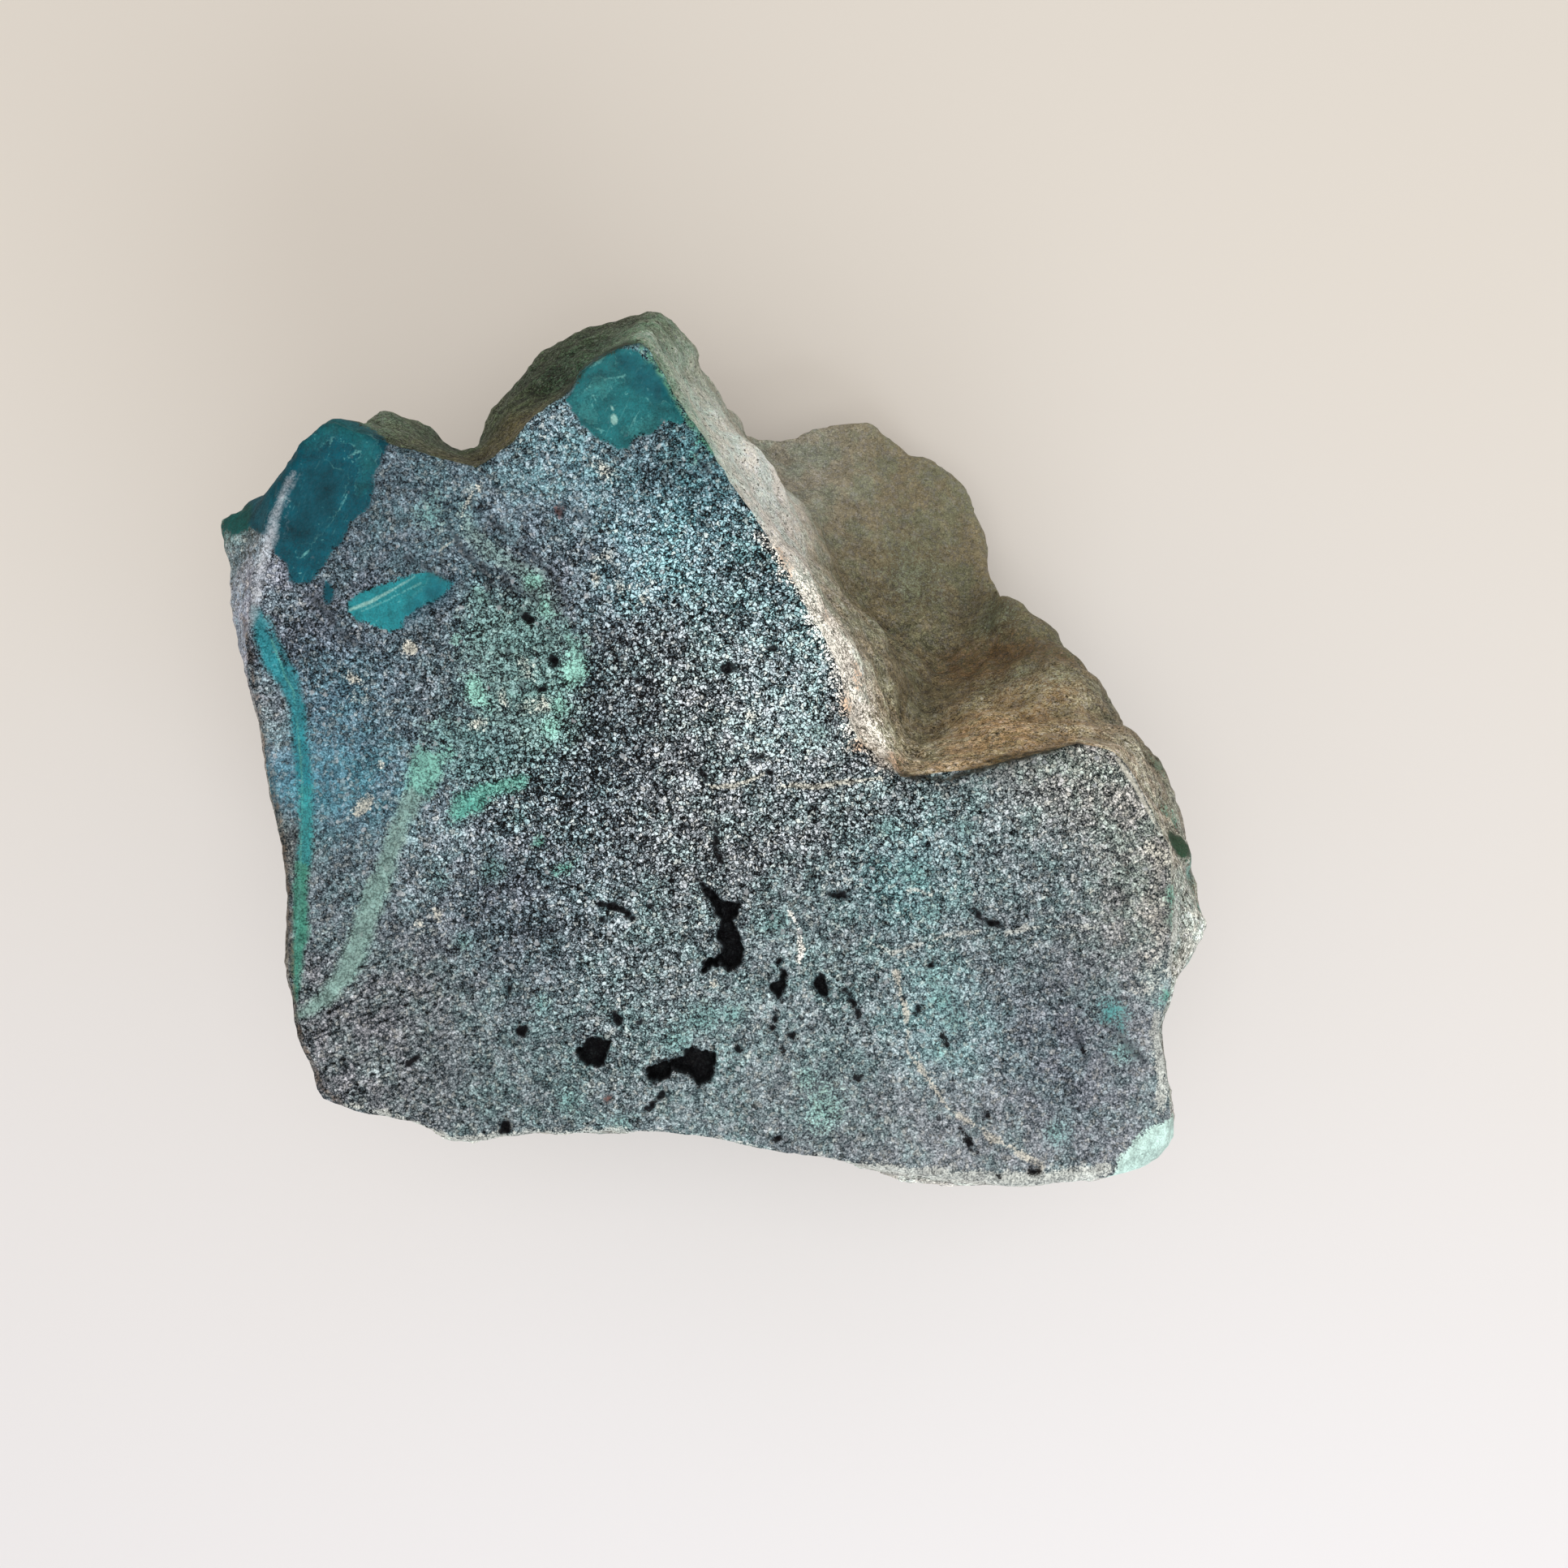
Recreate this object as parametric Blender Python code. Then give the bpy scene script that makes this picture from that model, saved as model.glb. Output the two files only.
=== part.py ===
"""Chrysocolla specimen: one rough chunk of copper-bearing rock with a flat sawn face.

The stone rests on a flat facet at z = 0 and its sawn face is level, at the top. The sides are natural
fracture. One corner has broken away down to a low shelf, and a few pits open in the sawn face.
Lengths below are millimetres and are scaled to metres as each mesh is made.
"""

import math
import random

import bmesh
import bpy
from mathutils import Vector, noise

MM = 0.001

# Driving dimensions
SAWN_HEIGHT = 40.0      # the sawn face, above the resting facet
RING_STEPS = (2, 7, 6, 4, 3)   # rows of faces from edge to brow, shoulder, girth, under and foot
PIT_MOUTH = 1.0         # how far a pit's cutter stands above the sawn face
PIT_TAPER = 0.78        # a pit's floor against its mouth
CHIPS = 170             # shallow scars struck off the natural sides
CHIP_RADIUS = (12.0, 90.0)     # of the sphere that each scar is part of: the largest are near flat
CHIP_DEPTH = (0.3, 1.1)
CHIP_TURN = 0.30        # how far a scar leans away from the surface it is struck from
BLOCK_SIZES = (11.0, 5.0)      # angular lumps of two sizes
BLOCK_HEIGHTS = (1.5, 0.7)
LUMP_SIZE = 9.0
LUMP_HEIGHT = 0.5
FOLD_LIMIT = 0.1        # cosine between neighbouring faces below which the surface counts as folded
UNFOLD_PASSES = 12
SEED = 41

# Large scars: a point on the surface, the radius of the scar's sphere, and how deep it goes
SCARS = {
    "south_scar": ((-9.0, -29.0, 14.0), 13.0, 3.0),
    "south_east_scar": ((16.0, -31.5, 22.0), 18.0, 1.8),
    "west_scar": ((-31.0, -8.0, 19.0), 11.0, 2.4),
    "west_low_scar": ((-27.0, -19.0, 8.0), 12.0, 2.0),
    "east_scar": ((32.0, -20.0, 15.0), 12.0, 2.6),
    "north_scar": ((-12.0, 28.5, 12.0), 14.0, 2.2),
}

# Ledges: the stone stands out by the last number on the far side of each plane (a point, a direction)
LEDGES = {
    "west_ledge": ((-31.0, -2.0, 26.0), (0.0, 0.45, -0.9), 0.8),
    "south_ledge": ((5.0, -30.0, 24.0), (0.35, 0.0, -0.95), 0.7),
    "north_ledge": ((-10.0, 28.0, 20.0), (-0.5, 0.0, 0.9), 0.7),
}
LEDGE_RUN = 0.9         # half the width over which a ledge rises

# The stone is lofted through six unlike rings: the sawn edge, the brow just below it, the shoulder
# (the foot of the notch's wall, on that side), the girth, the underside and the foot that it rests on.
# Each side of the stone gives its stretch of every ring, anticlockwise from above. A point with no
# height of its own lies at the ring's usual one: the sawn face for the edge, zero for the foot.
SIDES = {
    "notch_floor": {
        "stations": 22,
        "edge": [(26.5, -2.3), (24.2, -1.8), (22.1, -2.3), (19.8, -3.0), (17.6, -3.6), (15.1, -3.9),
                 (11.7, -4.2)],
        "brow": [(27.4, -1.7, 37.2), (24.6, -0.9, 38.0), (20.2, -1.9, 37.8), (15.8, -2.6, 37.5),
                 (12.8, -3.0, 36.2)],
        "shoulder": [(31.3, -0.3, 30.6), (28.8, 1.9, 28.6), (25.4, 5.3, 24.5), (21.2, 5.3, 20.0),
                     (16.3, 3.8, 18.0)],
        "girth": [(31.4, -1.4, 22.0), (29.0, 2.5, 20.5), (25.9, 6.7, 20.0), (23.5, 10.1, 18.5),
                  (21.9, 13.4, 15.0), (22.3, 17.4, 11.0)],
        "under": [(29.5, -2.5, 9.0), (27.6, 3.0, 8.0), (25.2, 8.0, 7.0), (22.8, 13.0, 6.0),
                  (21.2, 17.0, 5.0)],
        "foot": [(24.0, -7.0), (23.2, 0.0), (21.0, 6.0), (18.8, 11.0), (17.5, 15.5)],
    },
    "notch_wall": {
        "stations": 28,
        "edge": [(11.7, -4.2), (11.2, -3.3), (8.9, -1.9), (8.2, -0.6), (7.8, 2.9), (6.6, 5.3),
                 (5.3, 7.6), (4.1, 10.0), (2.8, 12.2), (1.1, 14.7), (-1.7, 19.2)],
        "brow": [(12.8, -3.0, 36.2), (11.2, 0.4, 36.6), (10.0, 3.4, 37.0), (7.8, 6.6, 37.6),
                 (5.9, 9.7, 38.0), (4.0, 12.6, 38.0), (-0.7, 19.9, 38.0)],
        "shoulder": [(16.3, 3.8, 18.0), (12.4, 8.7, 17.0), (9.0, 13.6, 16.0), (6.3, 17.8, 15.0),
                     (3.9, 21.4, 14.0), (1.8, 24.3, 13.0)],
        "girth": [(22.3, 17.4, 11.0), (19.8, 22.4, 10.0), (17.0, 24.5, 10.0), (13.9, 25.8, 10.0),
                  (12.2, 27.5, 10.0), (10.2, 27.8, 10.0), (7.6, 27.7, 10.0), (5.0, 27.6, 10.0),
                  (1.4, 26.2, 11.0)],
        "under": [(21.2, 17.0, 5.0), (18.6, 21.4, 4.5), (15.0, 24.0, 4.2), (11.5, 25.8, 4.0),
                  (7.0, 25.2, 4.0), (1.8, 23.8, 4.8)],
        "foot": [(17.5, 15.5), (15.5, 18.5), (11.5, 21.0), (7.0, 21.5), (2.0, 20.5)],
    },
    "peak_wall": {
        "stations": 9,
        "edge": [(-1.7, 19.2), (-3.3, 21.6), (-5.0, 24.3), (-5.7, 25.6)],
        "brow": [(-0.7, 19.9, 38.0), (-2.4, 22.3, 38.2), (-4.3, 25.2, 38.2), (-5.4, 26.8, 37.8)],
        "shoulder": [(1.8, 24.3, 13.0), (-1.1, 26.1, 19.0), (-2.3, 28.8, 23.0), (-3.3, 30.2, 24.0),
                     (-5.4, 32.2, 25.0)],
        "girth": [(1.4, 26.2, 11.0), (-1.0, 26.0, 13.0), (-3.0, 26.8, 14.0), (-5.6, 28.6, 15.0)],
        "under": [(1.8, 23.8, 4.8), (-2.0, 24.2, 6.0), (-5.8, 25.6, 7.0)],
        "foot": [(2.0, 20.5), (-2.0, 20.8), (-6.0, 21.2)],
    },
    "peak_back": {
        "stations": 16,
        "edge": [(-5.7, 25.6), (-6.8, 25.4), (-8.1, 24.6), (-9.3, 24.0), (-10.2, 22.7), (-11.0, 21.8),
                 (-12.3, 21.1), (-13.7, 19.9), (-14.8, 18.6), (-16.8, 16.8)],
        "brow": [(-5.4, 26.8, 37.8), (-7.4, 26.5, 37.0), (-9.6, 25.4, 37.0), (-11.4, 23.5, 37.0),
                 (-14.0, 21.3, 37.0), (-15.4, 20.0, 37.0), (-17.2, 18.0, 37.2)],
        "shoulder": [(-5.4, 32.2, 25.0), (-7.2, 32.0, 25.0), (-9.9, 31.2, 25.0), (-12.7, 29.6, 25.0),
                     (-15.2, 28.6, 24.0), (-17.6, 26.8, 23.0), (-19.1, 24.7, 23.0), (-20.5, 22.9, 23.0),
                     (-21.2, 21.6, 24.0)],
        "girth": [(-5.6, 28.6, 15.0), (-9.5, 28.4, 14.0), (-14.0, 26.0, 13.0), (-18.0, 22.5, 13.0),
                  (-20.4, 19.8, 14.0)],
        "under": [(-5.8, 25.6, 7.0), (-10.0, 24.8, 6.0), (-14.5, 22.0, 6.0), (-18.5, 17.8, 6.4)],
        "foot": [(-6.0, 21.2), (-10.0, 20.2), (-14.0, 17.0), (-16.5, 13.8)],
    },
    "lobe_back": {
        "stations": 11,
        "edge": [(-16.8, 16.8), (-18.3, 17.3), (-21.1, 18.0), (-23.2, 18.6), (-25.7, 19.5),
                 (-26.9, 20.1)],
        "brow": [(-17.2, 18.0, 37.2), (-18.9, 18.6, 37.0), (-21.4, 19.4, 37.0), (-23.5, 20.1, 37.0),
                 (-25.9, 20.6, 37.6), (-27.1, 20.7, 38.4)],
        "shoulder": [(-21.2, 21.6, 24.0), (-22.2, 21.7, 25.0), (-23.3, 22.5, 26.0), (-24.6, 23.3, 27.0),
                     (-26.0, 24.1, 28.0), (-27.4, 23.9, 29.0), (-28.2, 22.2, 31.0), (-28.8, 21.5, 32.5)],
        "girth": [(-20.4, 19.8, 14.0), (-23.5, 20.3, 15.0), (-27.0, 19.8, 17.0), (-29.5, 18.2, 19.0)],
        "under": [(-18.5, 17.8, 6.4), (-22.0, 17.6, 6.8), (-26.0, 16.0, 8.0)],
        "foot": [(-16.5, 13.8), (-19.0, 13.5), (-22.0, 11.8)],
    },
    "lobe_tip": {
        "stations": 10,
        "edge": [(-26.9, 20.1), (-28.1, 19.3), (-29.2, 18.4), (-29.9, 17.2), (-30.4, 16.2),
                 (-31.2, 13.1)],
        "brow": [(-27.1, 20.7, 38.4), (-28.6, 19.7, 38.6), (-30.0, 18.6, 38.2), (-31.4, 17.1, 37.4),
                 (-33.8, 16.2, 36.4), (-36.1, 14.1, 35.8)],
        "shoulder": [(-28.8, 21.5, 32.5), (-30.6, 19.4, 31.0), (-33.4, 17.2, 30.0), (-35.4, 14.2, 29.5)],
        "girth": [(-29.5, 18.2, 19.0), (-32.0, 15.4, 18.5), (-33.4, 12.0, 18.0)],
        "under": [(-26.0, 16.0, 8.0), (-28.8, 13.4, 8.0), (-30.0, 10.0, 7.5)],
        "foot": [(-22.0, 11.8), (-24.5, 9.6), (-25.5, 7.0)],
    },
    "west": {
        "stations": 28,
        "edge": [(-31.2, 13.1), (-31.9, 10.7), (-32.3, 7.3), (-32.6, 5.0), (-32.4, 2.8), (-31.5, -0.9),
                 (-31.2, -2.8), (-30.9, -5.3), (-30.5, -7.1), (-30.1, -8.6), (-29.8, -11.6),
                 (-29.8, -14.8), (-29.6, -18.3), (-29.4, -21.2), (-28.4, -23.3), (-28.1, -25.1),
                 (-27.5, -26.1)],
        "brow": [(-36.1, 14.1, 35.8), (-36.0, 12.8, 36.0), (-35.4, 11.8, 36.4), (-35.6, 10.9, 36.6),
                 (-35.0, 8.5, 37.2), (-34.7, 6.9, 37.6), (-33.8, 5.1, 38.4), (-33.2, 2.6, 38.6),
                 (-32.4, -0.9, 38.4), (-31.9, -4.6, 38.2), (-31.0, -8.7, 38.4), (-30.5, -13.0, 38.2),
                 (-30.2, -18.3, 38.4), (-30.0, -21.5, 38.4), (-28.8, -24.3, 38.2), (-27.8, -26.5, 38.4)],
        "shoulder": [(-35.4, 14.2, 29.5), (-34.8, 9.0, 28.5), (-33.5, 3.0, 28.0), (-32.0, -5.0, 29.0),
                     (-31.0, -13.0, 28.0), (-30.8, -20.0, 29.0), (-28.6, -26.8, 30.0)],
        "girth": [(-33.4, 12.0, 18.0), (-32.6, 5.0, 16.0), (-31.2, -4.0, 17.0), (-29.6, -13.0, 16.0),
                  (-29.0, -19.5, 17.0), (-26.6, -25.5, 18.0)],
        "under": [(-30.0, 10.0, 7.5), (-29.6, 3.0, 6.0), (-28.2, -5.0, 7.0), (-26.8, -13.0, 6.0),
                  (-25.6, -18.6, 7.0), (-23.0, -23.0, 7.0)],
        "foot": [(-25.5, 7.0), (-25.6, 0.0), (-24.4, -7.0), (-23.2, -13.0), (-22.0, -17.6),
                 (-19.0, -20.5)],
    },
    "south": {
        "stations": 32,
        "edge": [(-27.5, -26.1), (-25.9, -26.6), (-24.2, -27.0), (-21.2, -27.4), (-19.8, -27.7),
                 (-18.8, -28.8), (-17.9, -28.9), (-16.2, -28.6), (-13.6, -28.3), (-5.2, -28.2),
                 (-1.9, -28.4), (0.8, -28.8), (1.5, -29.3), (7.2, -29.9), (10.3, -30.6), (15.8, -31.4),
                 (19.8, -31.8), (23.1, -31.7), (26.8, -31.0)],
        "brow": [(-27.8, -26.5, 38.4), (-24.2, -27.3, 38.2), (-20.9, -28.2, 38.2), (-19.4, -29.4, 38.4),
                 (-17.6, -29.3, 38.4), (-13.6, -28.8, 38.2), (-5.2, -28.6, 38.2), (0.6, -29.0, 38.2),
                 (1.7, -29.8, 38.2), (7.2, -30.3, 38.0), (10.5, -31.5, 37.6), (16.3, -32.6, 37.4),
                 (22.5, -32.9, 37.4), (27.3, -31.9, 38.0)],
        "shoulder": [(-28.6, -26.8, 30.0), (-24.0, -28.2, 30.5), (-18.0, -29.8, 31.0),
                     (-10.0, -29.6, 30.0), (-2.0, -29.8, 29.0), (6.0, -31.4, 30.0), (14.0, -33.0, 30.0),
                     (22.5, -33.6, 31.0), (28.4, -32.4, 31.0)],
        "girth": [(-26.6, -25.5, 18.0), (-20.0, -27.6, 17.0), (-10.0, -28.2, 18.0), (0.0, -28.8, 17.0),
                  (10.0, -30.4, 16.0), (20.0, -31.8, 17.0), (27.8, -31.0, 18.0)],
        "under": [(-23.0, -23.0, 7.0), (-15.0, -25.2, 6.0), (-5.0, -25.8, 7.0), (5.0, -26.4, 6.0),
                  (15.0, -27.8, 6.0), (23.6, -27.0, 7.0)],
        "foot": [(-19.0, -20.5), (-10.0, -22.4), (0.0, -22.8), (10.0, -23.4), (17.6, -23.0)],
    },
    "east": {
        "stations": 22,
        "edge": [(26.8, -31.0), (28.7, -30.7), (29.8, -29.9), (30.6, -28.9), (30.3, -27.3),
                 (30.3, -25.4), (29.8, -22.8), (29.3, -21.6), (29.8, -20.3), (30.2, -18.6),
                 (30.4, -17.5), (30.2, -14.4), (30.2, -11.7), (30.4, -9.2), (29.3, -7.1), (28.8, -6.1),
                 (28.1, -4.6), (27.3, -3.4), (26.5, -2.3)],
        "brow": [(27.3, -31.9, 38.0), (29.2, -31.4, 38.2), (30.5, -30.4, 38.2), (31.2, -29.1, 38.2),
                 (30.9, -27.4, 38.0), (31.2, -25.6, 37.6), (30.5, -22.9, 38.0), (30.0, -21.6, 38.2),
                 (30.5, -20.3, 38.0), (31.2, -18.6, 37.4), (32.8, -16.7, 36.6), (33.9, -14.2, 36.0),
                 (33.4, -12.0, 36.4), (32.2, -9.2, 37.0), (30.3, -7.0, 38.0), (29.0, -4.5, 37.6),
                 (27.4, -1.7, 37.2)],
        "shoulder": [(28.4, -32.4, 31.0), (31.2, -31.0, 31.0), (31.8, -28.0, 32.0), (31.6, -25.0, 33.0),
                     (31.0, -22.3, 33.0), (31.8, -19.3, 33.0), (33.6, -17.0, 33.2), (34.5, -14.0, 33.0),
                     (34.0, -11.8, 33.2), (34.0, -9.6, 33.4), (34.0, -6.5, 32.4), (33.6, -3.4, 31.4),
                     (31.3, -0.3, 30.6)],
        "girth": [(27.8, -31.0, 18.0), (30.8, -28.6, 18.0), (31.6, -22.0, 17.0), (32.8, -15.0, 18.0),
                  (33.0, -8.0, 19.5), (31.4, -1.4, 22.0)],
        "under": [(23.6, -27.0, 7.0), (27.2, -24.6, 7.0), (28.6, -17.0, 6.0), (29.6, -9.0, 7.0),
                  (29.5, -2.5, 9.0)],
        "foot": [(17.6, -23.0), (21.4, -20.0), (23.0, -14.0), (24.0, -7.0)],
    },
}
RING_NAMES = ("edge", "brow", "shoulder", "girth", "under", "foot")
STATIONS = sum(side["stations"] for side in SIDES.values())

# Pits in the sawn face: the mouth's outline and the depth
PITS = {
    "long_pit": (1.9, [
        (-1.9, -11.0), (-0.9, -11.8), (-0.4, -12.25), (0.9, -12.7), (0.8, -13.3), (0.5, -13.8),
        (0.7, -14.4), (1.0, -14.9), (1.2, -15.7), (1.2, -16.5), (0.8, -17.1), (0.2, -17.2),
        (-0.3, -16.85), (-0.85, -16.9), (-1.6, -17.4), (-1.4, -16.5), (-0.9, -16.4), (-0.3, -16.0),
        (-0.2, -15.5), (-0.6, -15.05), (-0.5, -14.4), (-0.35, -13.75), (-0.8, -13.1), (-1.1, -12.3)]),
    "hooked_pit": (2.1, [
        (-5.5, -23.9), (-4.35, -23.4), (-3.5, -23.3), (-2.9, -23.0), (-2.4, -22.4), (-1.6, -22.7),
        (-0.8, -22.8), (-0.7, -24.0), (-1.0, -24.7), (-1.75, -25.3), (-2.1, -24.8), (-2.6, -24.3),
        (-3.6, -24.0), (-3.8, -24.6), (-4.7, -24.9), (-5.2, -24.7)]),
    "round_pit": (1.7, [
        (-10.3, -22.9), (-9.4, -21.9), (-8.8, -21.8), (-7.9, -22.1), (-8.0, -22.9), (-8.35, -23.7),
        (-9.4, -23.8), (-9.8, -23.4)]),
    "twin_pit_west": (1.1, [
        (2.95, -18.2), (3.3, -18.0), (3.7, -17.9), (3.9, -17.1), (4.2, -17.2), (4.1, -18.2),
        (3.8, -19.3), (3.5, -19.1)]),
    "twin_pit_east": (1.1, [
        (6.0, -17.9), (6.5, -17.5), (6.8, -17.9), (7.1, -18.6), (7.0, -19.2), (6.4, -18.8)]),
}


def new_mesh_object(name, collection, points, faces):
    mesh = bpy.data.meshes.new(name)
    mesh.from_pydata([Vector(p) * MM for p in points], [], faces)
    obj = bpy.data.objects.new(name, mesh)
    collection.objects.link(obj)
    return obj


def new_collection(name):
    collection = bpy.data.collections.new(name)
    bpy.context.scene.collection.children.link(collection)
    return collection


def with_height(point, ring_name):
    """A ring's point in three dimensions."""
    if len(point) == 3:
        return Vector(point)
    return Vector((point[0], point[1], SAWN_HEIGHT if ring_name == "edge" else 0.0))


def along(points, count):
    """The given number of points evenly spaced along a polyline, its last point left out."""
    reach = [0.0]
    for a, b in zip(points, points[1:]):
        reach.append(reach[-1] + (b - a).length)
    found = []
    for step in range(count):
        wanted = reach[-1] * step / count
        span = max(i for i in range(len(points) - 1) if reach[i] <= wanted)
        share = (wanted - reach[span]) / (reach[span + 1] - reach[span])
        found.append(points[span].lerp(points[span + 1], share))
    return found


def lofted_rows():
    """Rows of points from the sawn edge down to the foot, each with STATIONS points."""
    rings = []
    for ring_name in RING_NAMES:
        ring = []
        for side in SIDES.values():
            ring += along([with_height(p, ring_name) for p in side[ring_name]], side["stations"])
        rings.append(ring)
    rows = [rings[0]]
    for upper, lower, steps in zip(rings, rings[1:], RING_STEPS):
        for step in range(1, steps + 1):
            rows.append([a.lerp(b, step / steps) for a, b in zip(upper, lower)])
    return rows


def neighbours(row, column):
    return ((row - 1, column), (row + 1, column), (row, (column - 1) % STATIONS),
            (row, (column + 1) % STATIONS))


def relaxed(rows, passes, shares):
    """The rows with their creases eased and no shrinking, the sawn edge, the brow and the foot kept."""
    for share in shares * passes:
        eased = [list(row) for row in rows]
        for i in range(RING_STEPS[0] + 1, len(rows) - 1):
            for j in range(STATIONS):
                middle = sum((rows[r][c] for r, c in neighbours(i, j)), Vector()) / 4
                eased[i][j] = rows[i][j].lerp(middle, share)
        rows = eased
    return rows


def normals_of(rows):
    """Outward directions at each point of the sides."""
    found = []
    for i, row in enumerate(rows):
        above = rows[max(i - 1, 0)]
        below = rows[min(i + 1, len(rows) - 1)]
        line = []
        for j in range(STATIONS):
            round_it = row[(j + 1) % STATIONS] - row[(j - 1) % STATIONS]
            down = below[j] - above[j]
            line.append(down.cross(round_it).normalized())
        found.append(line)
    return found


def side_weight(row_index, row_count):
    """Nought on the two flat faces' outlines, rising to one on the natural sides."""
    from_edge = row_index / 4
    from_foot = (row_count - 1 - row_index) / 3
    return min(1.0, from_edge, from_foot)


def chipped(rows, spot, direction, radius, depth):
    """The rows with a scar that is part of a sphere, or None where it would cut too deep or end in a step."""
    count = len(rows)
    middle = spot + direction * (radius - depth)
    width = 1.6 * math.sqrt(2 * radius * depth)
    moved = {}
    for i in range(1, count - 1):
        for j, point in enumerate(rows[i]):
            out = point - middle
            sunk = radius - out.length
            away = (point - spot).length / width
            if sunk <= 0 or away > 2:
                continue
            if sunk > 1.8 * depth or (away > 1 and sunk > 0.2 * depth):
                return None
            if away > 1:
                continue
            laid = middle + out.normalized() * radius
            moved[i, j] = point.lerp(laid, side_weight(i, count))
    return [[moved.get((i, j), point) for j, point in enumerate(row)] for i, row in enumerate(rows)]


def nearest(rows, spot):
    """The row and column of the point nearest to a spot."""
    return min(((i, j) for i in range(len(rows)) for j in range(STATIONS)),
               key=lambda at: (rows[at[0]][at[1]] - spot).length)


def scarred(rows):
    """The large scars, at their places."""
    for spot, radius, depth in SCARS.values():
        i, j = nearest(rows, Vector(spot))
        direction = normals_of(rows)[i][j]
        rows = chipped(rows, rows[i][j], direction, radius, depth) or rows
    return rows


def struck(rows, random_source):
    """Shallow scars struck at random over the natural sides."""
    for _ in range(CHIPS):
        i = random_source.randrange(3, len(rows) - 2)
        j = random_source.randrange(STATIONS)
        tilt = Vector([random_source.uniform(-1, 1) for _ in range(3)]) * CHIP_TURN
        direction = (normals_of(rows)[i][j] + tilt).normalized()
        radius = random_source.uniform(*CHIP_RADIUS)
        depth = random_source.uniform(*CHIP_DEPTH)
        rows = chipped(rows, rows[i][j], direction, radius, depth) or rows
    return rows


def ledge_rise(point):
    """How far the ledges carry a point outwards."""
    rise = 0.0
    for spot, direction, height in LEDGES.values():
        if (point - Vector(spot)).length > 26.0:
            continue
        past = (point - Vector(spot)).dot(Vector(direction).normalized())
        past += noise.noise(point / 6.0) * 2.0
        share = min(1.0, max(0.0, 0.5 + past / (2 * LEDGE_RUN)))
        fade = min(1.0, (26.0 - (point - Vector(spot)).length) / 10.0)
        away = math.exp(-max(0.0, past) / 9.0)
        rise += height * share * fade * away
    return rise


def roughened(rows):
    """Angular blocks, rounder lumps and ledges on the natural sides."""
    normals = normals_of(rows)
    count = len(rows)
    rough = []
    for i, row in enumerate(rows):
        weight = side_weight(i, count)
        line = []
        for j, point in enumerate(row):
            rise = noise.noise(point / LUMP_SIZE) * LUMP_HEIGHT + ledge_rise(point)
            for size, height in zip(BLOCK_SIZES, BLOCK_HEIGHTS):
                reach = noise.voronoi(point / size + Vector((size, 4.0, 7.0)),
                                      distance_metric="MANHATTAN")[0][0]
                rise += (0.62 - reach) * height
            line.append(point + normals[i][j] * rise * weight)
        rough.append(line)
    return rough


def folded(rows, i, j):
    """Whether the surface doubles back round a point."""
    up, down, left, right = (rows[r][c] - rows[i][j] for r, c in neighbours(i, j))
    round_it = (up, left, down, right, up)
    turns = [a.cross(b).normalized() for a, b in zip(round_it, round_it[1:])]
    return min(a.dot(b) for a, b in zip(turns, turns[1:] + turns[:1])) < FOLD_LIMIT


def unfolded(rows):
    """The rows with the points where the surface doubles back eased towards their neighbours."""
    for _ in range(UNFOLD_PASSES):
        tight = [(i, j) for i in range(2, len(rows) - 1) for j in range(STATIONS) if folded(rows, i, j)]
        eased = {}
        for i, j in tight:
            for at in ((i, j), *neighbours(i, j)):
                if 1 < at[0] < len(rows) - 1:
                    middle = sum((rows[r][c] for r, c in neighbours(*at)), Vector()) / 4
                    eased[at] = rows[at[0]][at[1]].lerp(middle, 0.5)
        for (i, j), point in eased.items():
            rows[i][j] = point
    return rows


def stone_mesh(collection):
    rows = relaxed(lofted_rows(), 3, (0.5, -0.53))
    rows = unfolded(roughened(rows))
    rows = struck(scarred(rows), random.Random(SEED))
    rows = unfolded(rows)
    points = [point for row in rows for point in row]
    faces = []
    for i in range(len(rows) - 1):
        for j in range(STATIONS):
            k = (j + 1) % STATIONS
            faces.append((i * STATIONS + j, (i + 1) * STATIONS + j, (i + 1) * STATIONS + k,
                          i * STATIONS + k))
    last = (len(rows) - 1) * STATIONS
    faces.append(tuple(range(STATIONS)))
    faces.append(tuple(last + j for j in reversed(range(STATIONS))))
    return new_mesh_object("chrysocolla_stone", collection, points, faces)


def pit_cutter(name, depth, outline, collection):
    """A prism that narrows downwards, every level of it the same outline at another size."""
    middle = sum((Vector(p) for p in outline), Vector((0, 0))) / len(outline)
    spread = (1 - PIT_TAPER) / depth
    points = []
    for height in (PIT_MOUTH, -depth):
        size = 1 + spread * height
        for p in outline:
            flat = middle + (Vector(p) - middle) * size
            points.append((flat.x, flat.y, SAWN_HEIGHT + height))
    count = len(outline)
    area = sum(a[0] * b[1] - b[0] * a[1] for a, b in zip(outline, outline[1:] + outline[:1]))
    walls = [(i, i + count, (i + 1) % count + count, (i + 1) % count) for i in range(count)]
    faces = [tuple(range(count)), tuple(reversed(range(count, 2 * count)))] + walls
    if area < 0:
        faces = [tuple(reversed(face)) for face in faces]
    cutter = new_mesh_object(name, collection, points, faces)
    cutter.display_type = "WIRE"
    cutter.hide_render = True
    return cutter


def stone_material():
    material = bpy.data.materials.new("chrysocolla rock")
    material.use_nodes = True
    shader = material.node_tree.nodes["Principled BSDF"]
    shader.inputs["Base Color"].default_value = (0.16, 0.24, 0.25, 1.0)
    shader.inputs["Roughness"].default_value = 0.75
    material.diffuse_color = (0.16, 0.24, 0.25, 1.0)
    return material


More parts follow.
